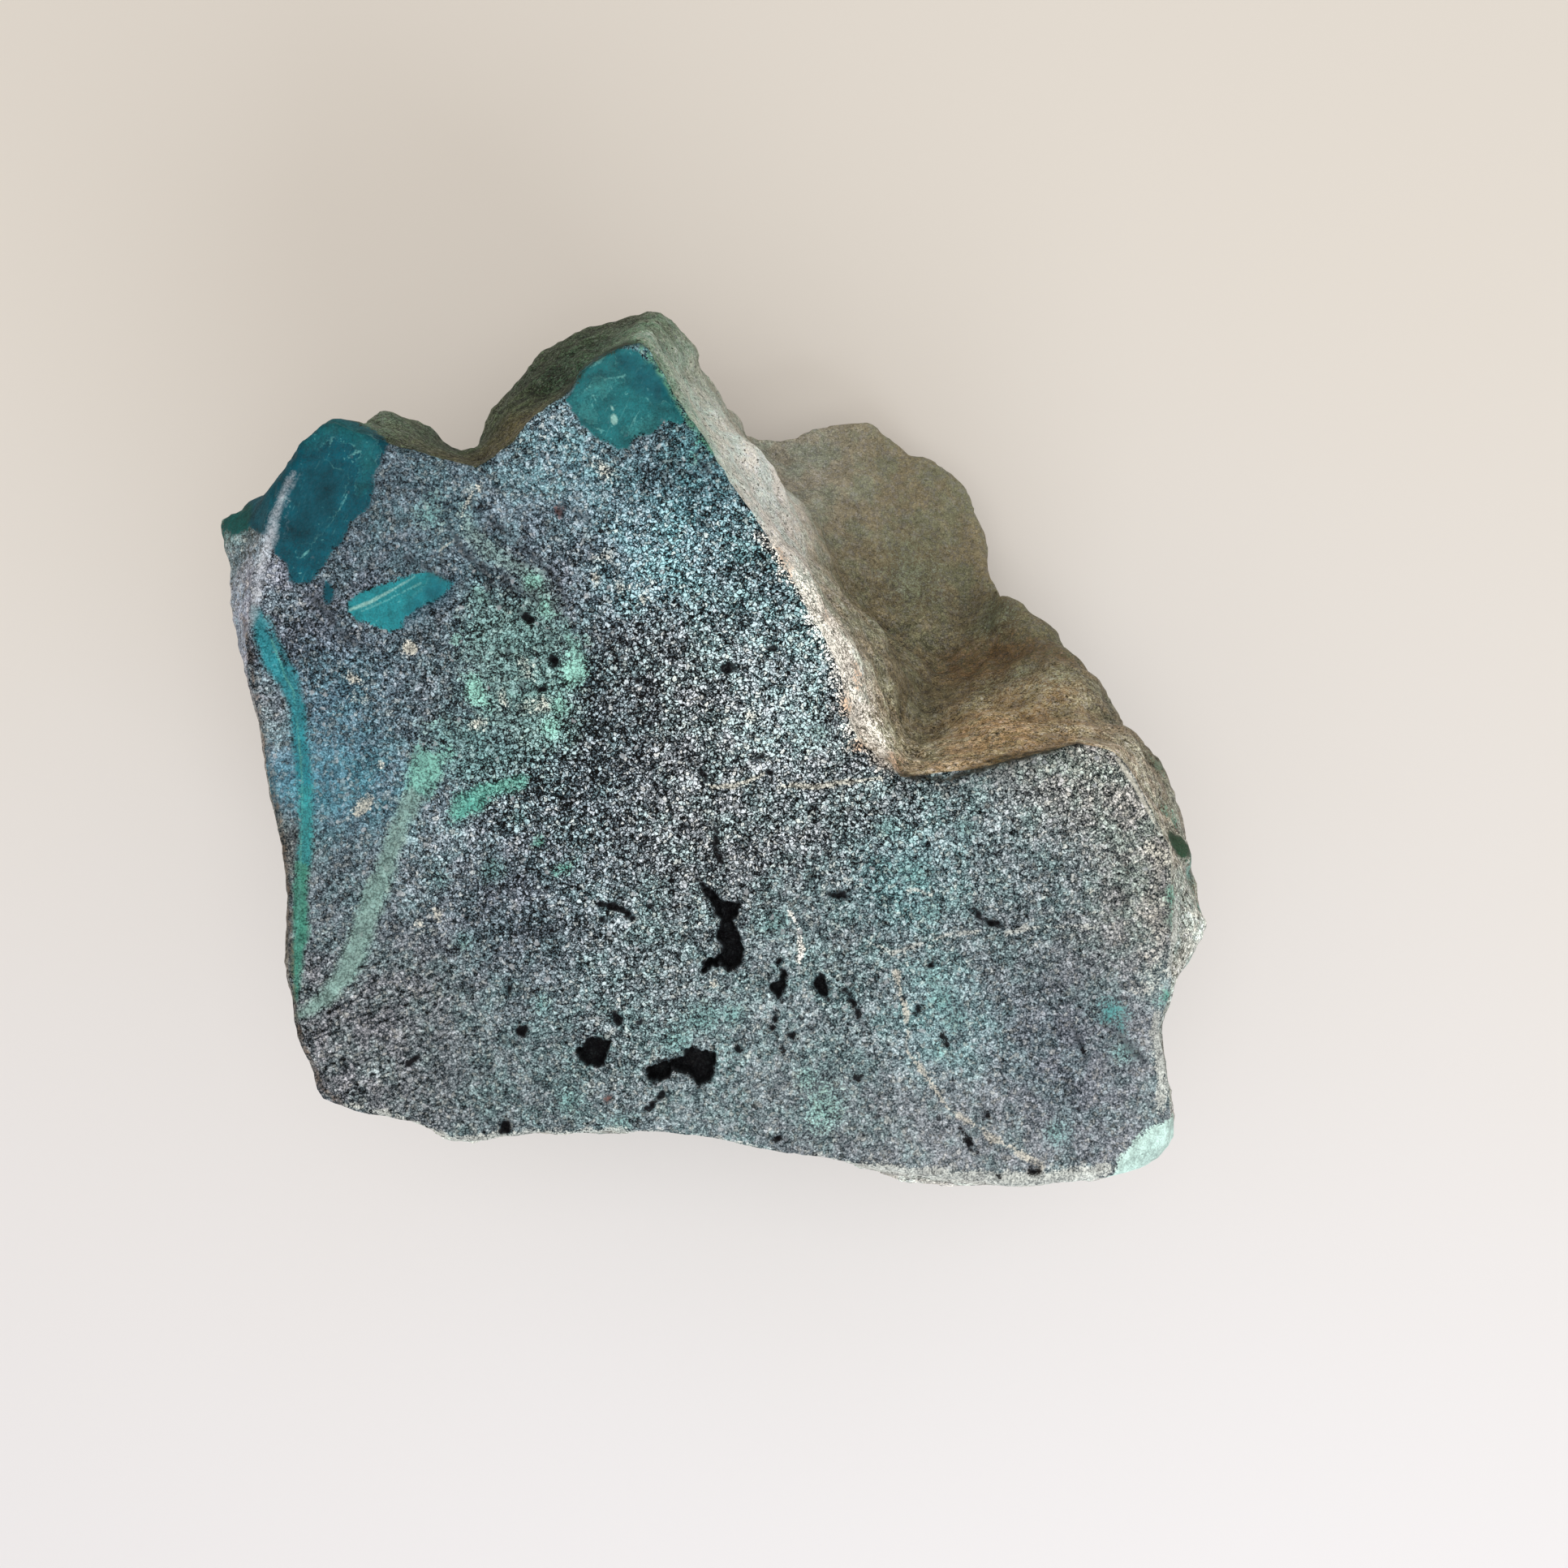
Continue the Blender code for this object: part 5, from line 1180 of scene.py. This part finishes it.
class Graph:
    """Short calls for a material's nodes. Each returns the socket that carries its result."""

    def __init__(self, name):
        self.material = bpy.data.materials.new(name)
        self.material.use_nodes = True
        self.tree = self.material.node_tree
        self.shader = self.tree.nodes["Principled BSDF"]
        place = self.node("ShaderNodeTexCoord", {}).outputs["Object"]
        self.at = self.vector("SCALE", {0: place, "Scale": 1 / MM})

    def node(self, kind, inputs, **settings):
        made = self.tree.nodes.new(kind)
        for name, value in settings.items():
            setattr(made, name, value)
        for name, value in inputs.items():
            if isinstance(value, bpy.types.NodeSocket):
                self.tree.links.new(value, made.inputs[name])
            else:
                made.inputs[name].default_value = value
        return made

    def feed(self, name, socket):
        """Leads a result to one of the shader's inputs."""
        self.tree.links.new(socket, self.shader.inputs[name])

    def value(self, name):
        """A number that the mesh's points carry."""
        return self.node("ShaderNodeAttribute", {}, attribute_name=name).outputs["Fac"]

    def colour(self, name):
        """A colour that they carry."""
        return self.node("ShaderNodeAttribute", {}, attribute_name=name).outputs["Color"]

    def parts(self, name):
        """A colour attribute's four numbers."""
        attribute = self.node("ShaderNodeAttribute", {}, attribute_name=name)
        split = self.node("ShaderNodeSeparateColor", {0: attribute.outputs["Color"]})
        return (*split.outputs, attribute.outputs["Alpha"])

    def axis(self, number):
        """The place along X, Y or Z."""
        return self.node("ShaderNodeSeparateXYZ", {0: self.at}).outputs[number]

    def vector(self, operation, inputs):
        return self.node("ShaderNodeVectorMath", inputs, operation=operation).outputs[0]

    def math(self, operation, *values, clamp=False):
        inputs = dict(enumerate(values))
        return self.node("ShaderNodeMath", inputs, operation=operation, use_clamp=clamp).outputs[0]

    def total(self, *values):
        result = values[0]
        for value in values[1:]:
            result = self.math("ADD", result, value)
        return result

    def product(self, *values):
        result = values[0]
        for value in values[1:]:
            result = self.math("MULTIPLY", result, value)
        return result

    def scaled(self, value, factor, offset=0.0):
        return self.math("MULTIPLY_ADD", value, factor, offset)

    def centred(self, value, height):
        """A value from 0 to 1, made as high as the height and put round nought."""
        return self.scaled(value, height, -height / 2)

    def rest(self, share):
        """What a share leaves of the whole."""
        return self.math("SUBTRACT", 1.0, share)

    def ramp(self, value, start, end, low=0.0, high=1.0):
        """A value that goes from low to high between two points, easing in and out."""
        inputs = {"Value": value, "From Min": start, "From Max": end, "To Min": low, "To Max": high}
        return self.node("ShaderNodeMapRange", inputs, interpolation_type="SMOOTHSTEP").outputs[0]

    def mix(self, share, first, second, blend="MIX"):
        """A colour between two. Each is a socket, or red, green and blue."""
        first, second = ((*c, 1.0) if isinstance(c, tuple) else c for c in (first, second))
        inputs = {0: share, 6: first, 7: second}
        return self.node("ShaderNodeMix", inputs, data_type="RGBA", blend_type=blend).outputs[2]

    def tinted(self, colour, tint):
        """Two colours multiplied."""
        return self.mix(1.0, colour, tint, "MULTIPLY")

    def between(self, share, first, second):
        """A number between two."""
        return self.node("ShaderNodeMix", {0: share, 2: first, 3: second}).outputs[0]

    def grey(self, value):
        return self.node("ShaderNodeCombineColor", {0: value, 1: value, 2: value}).outputs[0]

    def noise(self, swells, at=None):
        """Smooth noise from 0 to 1."""
        inputs = {"Vector": at or self.at, "Scale": 1 / swells.size,
                  "Detail": swells.detail, "Roughness": swells.rough}
        return self.node("ShaderNodeTexNoise", inputs).outputs[0]

    def relief(self, swells, at=None):
        """Smooth noise at its own height, round nought."""
        return self.centred(self.noise(swells, at), swells.height)

    def cells(self, size, at):
        """Cells: how far each place is from the middle of its own, and two random numbers for each."""
        cells = self.node("ShaderNodeTexVoronoi", {"Vector": at, "Scale": 1 / size})
        split = self.node("ShaderNodeSeparateColor", {0: cells.outputs["Color"]})
        return {"away": cells.outputs["Distance"], "chance": split.outputs[0], "hue_chance": split.outputs[1]}

    def inside_cells(self, size, at):
        """How far each place is from the edge of its cell."""
        inputs = {"Vector": at, "Scale": 1 / size}
        return self.node("ShaderNodeTexVoronoi", inputs, feature="DISTANCE_TO_EDGE").outputs["Distance"]

    def warped(self, size, reach):
        """Places shifted about by up to a reach."""
        inputs = {"Vector": self.at, "Scale": 1 / size, "Detail": 1.0}
        shifts = self.node("ShaderNodeTexNoise", inputs).outputs[1]
        centred = self.vector("SUBTRACT", {0: shifts, 1: (0.5, 0.5, 0.5)})
        return self.vector("MULTIPLY_ADD", {0: centred, 1: (2 * reach,) * 3, 2: self.at})

    def stretched(self, turn, longer):
        """Places drawn out along a direction, given in degrees from +X."""
        inputs = {"Vector": self.at, "Angle": -math.radians(turn)}
        turned = self.node("ShaderNodeVectorRotate", inputs, rotation_type="Z_AXIS").outputs[0]
        return self.vector("MULTIPLY", {0: turned, 1: (1 / longer, 1.0, 1.0)})


# A ramp is given by where it starts and ends and, where they aren't 0 and 1, its low and high values. A
# stretch is given by its direction in degrees and how much longer it makes things

# Grain: pale cells with dark gaps, and noises of several sizes
# The pale cells are partly the rock's crystals and partly painted glints of the sawn face's sparkle.
GRAIN_SIZE = 0.25
GRAIN_WARP = (0.3, 0.2)         # the size and reach of the wiggles in the grains' edges
GAP_WIDTH = 0.17                # how wide the dark edge of a grain is, as a share of its size
FINE = Swells(0.12, 1.0)
MEDIUM = Swells(0.45, height=1.8)
PATCHY = Swells(1.9, 3.0, 0.6, 2.0)
STREAKS = Swells(0.9 * GRAIN_SIZE, 1.0, height=4.6)
STREAK_TURNS = {"streaky": 28.0, "flowing": -42.0}
STREAK_LENGTH = 2.0
GrainMix = namedtuple("GrainMix", "solid gap chance fine")     # how strong each part of a grain is
CRISP_GRAIN = GrainMix(15.0, -1.9, 1.9, 3.2)
SOFT_GRAIN = GrainMix(8.0, -1.0, 1.9, 6.4)
STREAKY_GRAIN = GrainMix(8.0, -1.0, 1.1, 3.0)
CRISP_CONTRAST = (0.15, 0.28)   # between these contrasts of the rock the grains go from soft to crisp

# The rock: lightness and hue
SIDE_GRAIN = 1.1
SIDE_BLOTCHES = Swells(1.5, 5.0, 0.7, 2.4)
# how strongly the sides get painted light on ridges and painted shade in hollows
SIDE_RELIEF_SHADE = 0.9
LEAST_LIGHT = 0.04
MOST_LIGHT = (1.04, 0.92)       # on the sides and on the sawn face
LIGHT_EASE = 0.16               # how softly the lightness nears its most
PALE_GRAINS = (0.45, 0.95, 0.0, 0.42)       # between these lightnesses the grains lose their hue
STAINS = Swells(2.2, 3.0, 0.6)
STAIN_RAMP = (0.4, 0.62)
YELLOWISH_GRAINS = (0.72, 0.95, 0.0, 0.45)  # of the grains' second random number
BLUISH_GRAINS = (0.30, 0.08, 0.0, 0.35)
GAP_LIGHT = (0.46, 0.2)         # between these lightnesses the gaps' own hue comes in

# Specks: pale flecks, partly painted glints, and small dark voids
SPECK_SPACING = 0.85
SPECK_SIZE = (0.14, 0.07)       # a speck's radius: how far it varies, and the least
SPECK_EDGE = (0.05, -0.03)
PALE_SPECKS = (0.60, 0.62)      # of the specks' random number, as is the next
DARK_SPECKS = (0.36, 0.34)
PALE_SPECK_COVER = 0.42
DARK_SPECK_COVER = (0.25, 0.7)  # on the sides and on the sawn face

# Dark chips on the sides, fewer towards the foot
SIDE_CHIPS = Swells(0.34, 3.0, 0.85)
SIDE_CHIP_STRETCH = (12.0, 1.3)
SIDE_CHIP_RAMP = (0.57, 0.62, 0.0, 0.9)
SIDE_CHIP_HEIGHTS = (20.0, 34.0, 0.4, 1.0)

# Markings
WANDER = Swells(1.1, 4.0, 0.65, 2.4)    # how their edges wander
EDGE_GRAIN = -0.2               # how far the grain pushes the edges about: pale grains push outwards
MOTTLE_STAINS = 1.3             # how far the stains and the wander lighten and darken the markings
MOTTLE_WANDER = 0.3
MARKING_GRAIN = 0.42            # and how far the grain does
LEAST_SHADE = 0.12
GAPS_SHOW = (0.3, -1.1, 0.0, 0.85)      # between these grain values the rock's dark gaps show through

# Frost on the glassy minerals: dusty grains and fine scratches, in clusters
DUST_CHANCE = (0.84, 0.9)       # of the grains' first random number
DUST_EDGE = (0.34, 0.2)         # of the distance from a grain's middle
DUST_COVER = 0.5
SCRATCHES = Swells(0.13, 1.0)
SCRATCH_STRETCH = (66.0, 7.0)
SCRATCH_RAMP = (0.6, 0.85, 0.0, 0.3)
FROST_CLUSTERS = (0.42, 0.68, 0.1, 1.0)

# Pits, gloss and the relief finer than the mesh
PIT_GRAIN = -0.08               # how far the grain gnaws at a pit's edge
PIT_EDGE = (0.08, 0.02, 0.0, 0.97)
ROCK_ROUGHNESS = 0.62
GRAIN_ROUGHNESS = -0.05
MINERAL_ROUGHNESS = 0.4
PIT_ROUGHNESS = 0.9
SPECULAR = 0.1
SIDE_CRUMBS = Swells(0.3, 3.0, 0.7)
SIDE_CRUMB_HEIGHT = 0.9
GRAIN_DOME = -0.3               # how far a grain falls off towards its edge
BUMP = {"Strength": 0.6, "Distance": 0.1 * MM}


def grain_of(graph, cells, places):
    """Close-set pale grains with thin dark gaps, about nought on average with a spread of one."""
    solid = graph.math("MINIMUM", graph.inside_cells(GRAIN_SIZE, places), GAP_WIDTH)
    fine = graph.noise(FINE)
    broad = graph.total(graph.relief(MEDIUM), graph.relief(PATCHY))

    def grains(mix, *streaks):
        return graph.total(graph.scaled(solid, mix.solid, mix.gap),
                           graph.centred(cells["chance"], mix.chance),
                           *streaks, graph.centred(fine, mix.fine))

    crispness = graph.ramp(graph.value("rock_contrast"), *CRISP_CONTRAST)
    grain = graph.total(graph.between(crispness, grains(SOFT_GRAIN), grains(CRISP_GRAIN)), broad)
    for name, turn in STREAK_TURNS.items():
        streaks = graph.relief(STREAKS, graph.stretched(turn, STREAK_LENGTH))
        grain = graph.between(graph.value(name), grain, graph.total(grains(STREAKY_GRAIN, streaks), broad))
    return grain


def rock_light(graph, sawn, grain):
    """How light the rock is, from 0 to about 1."""
    side_grain = graph.total(graph.product(grain, SIDE_GRAIN), graph.relief(SIDE_BLOTCHES),
                             graph.product(graph.value("relief_shade"), SIDE_RELIEF_SHADE))
    spread = graph.between(sawn, side_grain, grain)
    level = graph.scaled(spread, graph.value("rock_contrast"), graph.value("rock_light"))
    level = graph.math("MAXIMUM", level, LEAST_LIGHT)
    return graph.math("SMOOTH_MIN", level, graph.between(sawn, *MOST_LIGHT), LIGHT_EASE)


def rock_base(graph, sawn, grain, cells, stain):
    """The rock without its minerals: its hue and lightness drift, and the natural sides are stained."""
    level = rock_light(graph, sawn, grain)
    white = (1.0, 1.0, 1.0)
    hue = graph.mix(graph.ramp(level, *PALE_GRAINS), graph.colour("rock_hue"), white)
    warm = graph.tinted(hue, graph.mix(sawn, STAIN_BROWN, DUSKY))
    cool = graph.tinted(hue, SEA_GREEN)
    hue = graph.mix(graph.ramp(stain, *STAIN_RAMP), warm, cool)
    hue = graph.mix(graph.ramp(cells["hue_chance"], *YELLOWISH_GRAINS), hue, YELLOWISH)
    hue = graph.mix(graph.ramp(cells["hue_chance"], *BLUISH_GRAINS), hue, BLUISH)
    gaps = graph.product(graph.ramp(level, *GAP_LIGHT), sawn)
    hue = graph.tinted(hue, graph.mix(gaps, white, SHADOW_TEAL))
    return graph.tinted(graph.grey(graph.math("POWER", level, LIGHTNESS_POWER)), hue)


def with_specks(graph, rock, sawn, places):
    """The rock with pale flecks, partly painted glints, and small dark voids."""
    specks = graph.cells(SPECK_SPACING, places)
    size = graph.scaled(specks["hue_chance"], *SPECK_SIZE)
    speck = graph.ramp(graph.math("SUBTRACT", specks["away"], size), *SPECK_EDGE)
    pale = graph.product(speck, graph.ramp(specks["chance"], *PALE_SPECKS), sawn, PALE_SPECK_COVER)
    dark = graph.product(speck, graph.ramp(specks["chance"], *DARK_SPECKS),
                         graph.between(sawn, *DARK_SPECK_COVER))
    return graph.mix(dark, graph.mix(pale, rock, WHITE), PIT_BLACK)


def with_side_chips(graph, rock, sawn):
    """The rock with dark chips on its natural sides."""
    chips = graph.ramp(graph.noise(SIDE_CHIPS, graph.stretched(*SIDE_CHIP_STRETCH)), *SIDE_CHIP_RAMP)
    share = graph.product(chips, graph.ramp(graph.axis(2), *SIDE_CHIP_HEIGHTS), graph.rest(sawn))
    return graph.mix(share, rock, DARK_OLIVE)


def marked(graph, name, base, grain, wander, mottle):
    """The base colour with a layer of markings over it, and how much of the base they hide."""
    soft, ragged, cover, grain_share = graph.parts(name + "_finish")
    pushed = graph.scaled(grain, EDGE_GRAIN, wander)
    edge = graph.scaled(pushed, ragged, graph.value(name + "_edge"))
    inside = graph.math("SUBTRACT", 0.5, graph.math("DIVIDE", edge, graph.product(soft, 2.0)), clamp=True)
    shows = graph.product(grain_share, graph.ramp(grain, *GAPS_SHOW))
    share = graph.product(inside, graph.product(cover, graph.rest(shows)))
    lift = graph.scaled(graph.product(grain, grain_share), MARKING_GRAIN, mottle)
    shade = graph.math("MAXIMUM", graph.total(lift, 1.0), LEAST_SHADE)
    tint = graph.tinted(graph.colour(name + "_tint"), graph.grey(shade))
    return graph.mix(share, base, tint), share


def with_frost(graph, rock, mineral, cells, stain):
    """The minerals with dusty grains and fine scratches."""
    dust = graph.product(graph.ramp(cells["chance"], *DUST_CHANCE), graph.ramp(cells["away"], *DUST_EDGE))
    scratch = graph.ramp(graph.noise(SCRATCHES, graph.stretched(*SCRATCH_STRETCH)), *SCRATCH_RAMP)
    frost = graph.total(graph.product(dust, DUST_COVER), scratch)
    return graph.mix(graph.product(frost, graph.ramp(stain, *FROST_CLUSTERS), mineral), rock, FROST)


def add_gloss(graph, sawn, grain, mineral, pit):
    """The copper minerals take a polish, the rest is matt."""
    rough = graph.scaled(grain, GRAIN_ROUGHNESS, ROCK_ROUGHNESS)
    rough = graph.between(graph.product(mineral, sawn), rough, MINERAL_ROUGHNESS)
    graph.feed("Roughness", graph.between(pit, rough, PIT_ROUGHNESS))
    graph.shader.inputs["Specular IOR Level"].default_value = SPECULAR


def add_fine_relief(graph, sawn, cells):
    """Crumbs on the sides and domed grains on the sawn face."""
    crumbs = graph.product(graph.noise(SIDE_CRUMBS), SIDE_CRUMB_HEIGHT)
    relief = graph.between(sawn, crumbs, graph.product(cells["away"], GRAIN_DOME))
    graph.feed("Normal", graph.node("ShaderNodeBump", {"Height": relief, **BUMP}).outputs[0])


def rock_material():
    graph = Graph("chrysocolla_rock")
    sawn = graph.value("sawn")
    places = graph.warped(*GRAIN_WARP)
    cells = graph.cells(GRAIN_SIZE, places)
    grain = grain_of(graph, cells, places)
    wander = graph.relief(WANDER)
    stain = graph.noise(STAINS)
    mottle = graph.scaled(wander, MOTTLE_WANDER, graph.centred(stain, MOTTLE_STAINS))
    rock = rock_base(graph, sawn, grain, cells, stain)
    rock = with_specks(graph, rock, sawn, places)
    rock = with_side_chips(graph, rock, sawn)
    rock, mineral = marked(graph, "mineral", rock, grain, wander, mottle)
    rock = with_frost(graph, rock, mineral, cells, stain)
    rock, _ = marked(graph, "overlay", rock, grain, wander, mottle)
    # Painted shade: the pits' insides are painted near black.
    pit = graph.ramp(graph.total(graph.value("pit"), graph.product(grain, PIT_GRAIN)), *PIT_EDGE)
    graph.feed("Base Color", graph.mix(pit, rock, PIT_BLACK))
    add_gloss(graph, sawn, grain, mineral, pit)
    add_fine_relief(graph, sawn, cells)
    return graph.material


def make_stone():
    mesh = stone_mesh(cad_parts["chrysocolla_stone"])
    points = coordinates(mesh)
    sawn = values_of(mesh, "sawn")
    places = np.column_stack([points[:, :2], SAWN_HEIGHT - points[:, 2]])
    places[sawn > 0.5, 2] = 0.0
    write_layer(mesh, "mineral", MINERALS, places)
    write_layer(mesh, "overlay", OVERLAYS, places)
    write_rock(mesh, points, sawn)
    write_streaks(mesh, points)
    mesh.materials.append(rock_material())
    mesh.shade_smooth()
    stone = linked("chrysocolla_rock", mesh)
    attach(stone, "root")
    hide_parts("chrysocolla_stone")


# --- Studio, in metres ---

FLOOR_SIZE = 4.0
FLOOR_LIT_COOL = srgb(221, 220, 224)    # painted light falloff: the pale table is painted a cool white to the south and darker and warmer northwards, away from the key light
FLOOR_SHADED_WARM = srgb(217, 212, 206)
FLOOR_LIGHT_FALLOFF = (-90.0, 60.0)      # between these, in millimetres
FLOOR_FALLOFF_CLOUDS = Swells(60.0, height=40.0)
FLOOR_ROUGHNESS = 0.8
SKY_COLOUR = (1.0, 0.94, 0.865, 1.0)
SKY_STRENGTH = 0.61
Light = namedtuple("Light", "place aim size power colour")
LIGHTS = {
    "overhead": Light((0.02, -0.02, 0.60), (0.0, 0.0, 0.0), 0.50, 1.5, (1.0, 0.97, 0.93)),
    "key": Light((0.14, -0.34, 0.26), (0.0, -0.04, 0.0), 0.30, 0.85, (0.90, 0.96, 1.0)),
}
CAMERA_PLACE = (0.0040, -0.0045, 0.147333)
HALF_VIEW = 0.4986      # tangent of half the camera's angle
SENSOR_WIDTH = 36.0     # in millimetres
NEAREST_SEEN = 0.005
FURTHEST_SEEN = 10.0


def table_material():
    graph = Graph("pale_table")
    # Painted light falloff: the floor is painted darker and warmer northwards.
    painted_falloff = graph.ramp(graph.total(graph.axis(1), graph.relief(FLOOR_FALLOFF_CLOUDS)), *FLOOR_LIGHT_FALLOFF)
    graph.feed("Base Color", graph.mix(painted_falloff, FLOOR_LIT_COOL, FLOOR_SHADED_WARM))
    graph.shader.inputs["Roughness"].default_value = FLOOR_ROUGHNESS
    return graph.material


def make_floor():
    mesh = bpy.data.meshes.new("floor")
    half = FLOOR_SIZE / 2
    corners = [(-half, -half, 0), (half, -half, 0), (half, half, 0), (-half, half, 0)]
    mesh.from_pydata(corners, [], [(0, 1, 2, 3)])
    mesh.materials.append(table_material())
    floor = linked("floor", mesh)


def add_light(name, light):
    """A round soft light that the camera doesn't see."""
    lamp = bpy.data.lights.new(name, "AREA")
    lamp.shape = "DISK"
    lamp.size = light.size
    lamp.energy = light.power
    lamp.color = light.colour
    holder = linked(name, lamp)
    holder.location = light.place
    holder.rotation_euler = (Vector(light.aim) - Vector(light.place)).to_track_quat("-Z", "Y").to_euler()
    holder.visible_camera = False


def make_studio():
    make_floor()
    world = bpy.data.worlds.new("studio")
    world.use_nodes = True
    background = world.node_tree.nodes["Background"]
    background.inputs["Color"].default_value = SKY_COLOUR
    background.inputs["Strength"].default_value = SKY_STRENGTH
    bpy.context.scene.world = world
    for name, light in LIGHTS.items():
        add_light(name, light)
    bpy.context.scene.view_settings.view_transform = "Standard"
    bpy.context.scene.view_settings.look = "None"


def make_camera():
    """The camera looks straight down."""
    lens = bpy.data.cameras.new("camera")
    lens.sensor_width = SENSOR_WIDTH
    lens.lens = SENSOR_WIDTH / 2 / HALF_VIEW
    lens.clip_start = NEAREST_SEEN
    lens.clip_end = FURTHEST_SEEN
    camera = linked("camera", lens)
    camera.location = CAMERA_PLACE
    bpy.context.scene.camera = camera


make_stone()
make_studio()
make_camera()
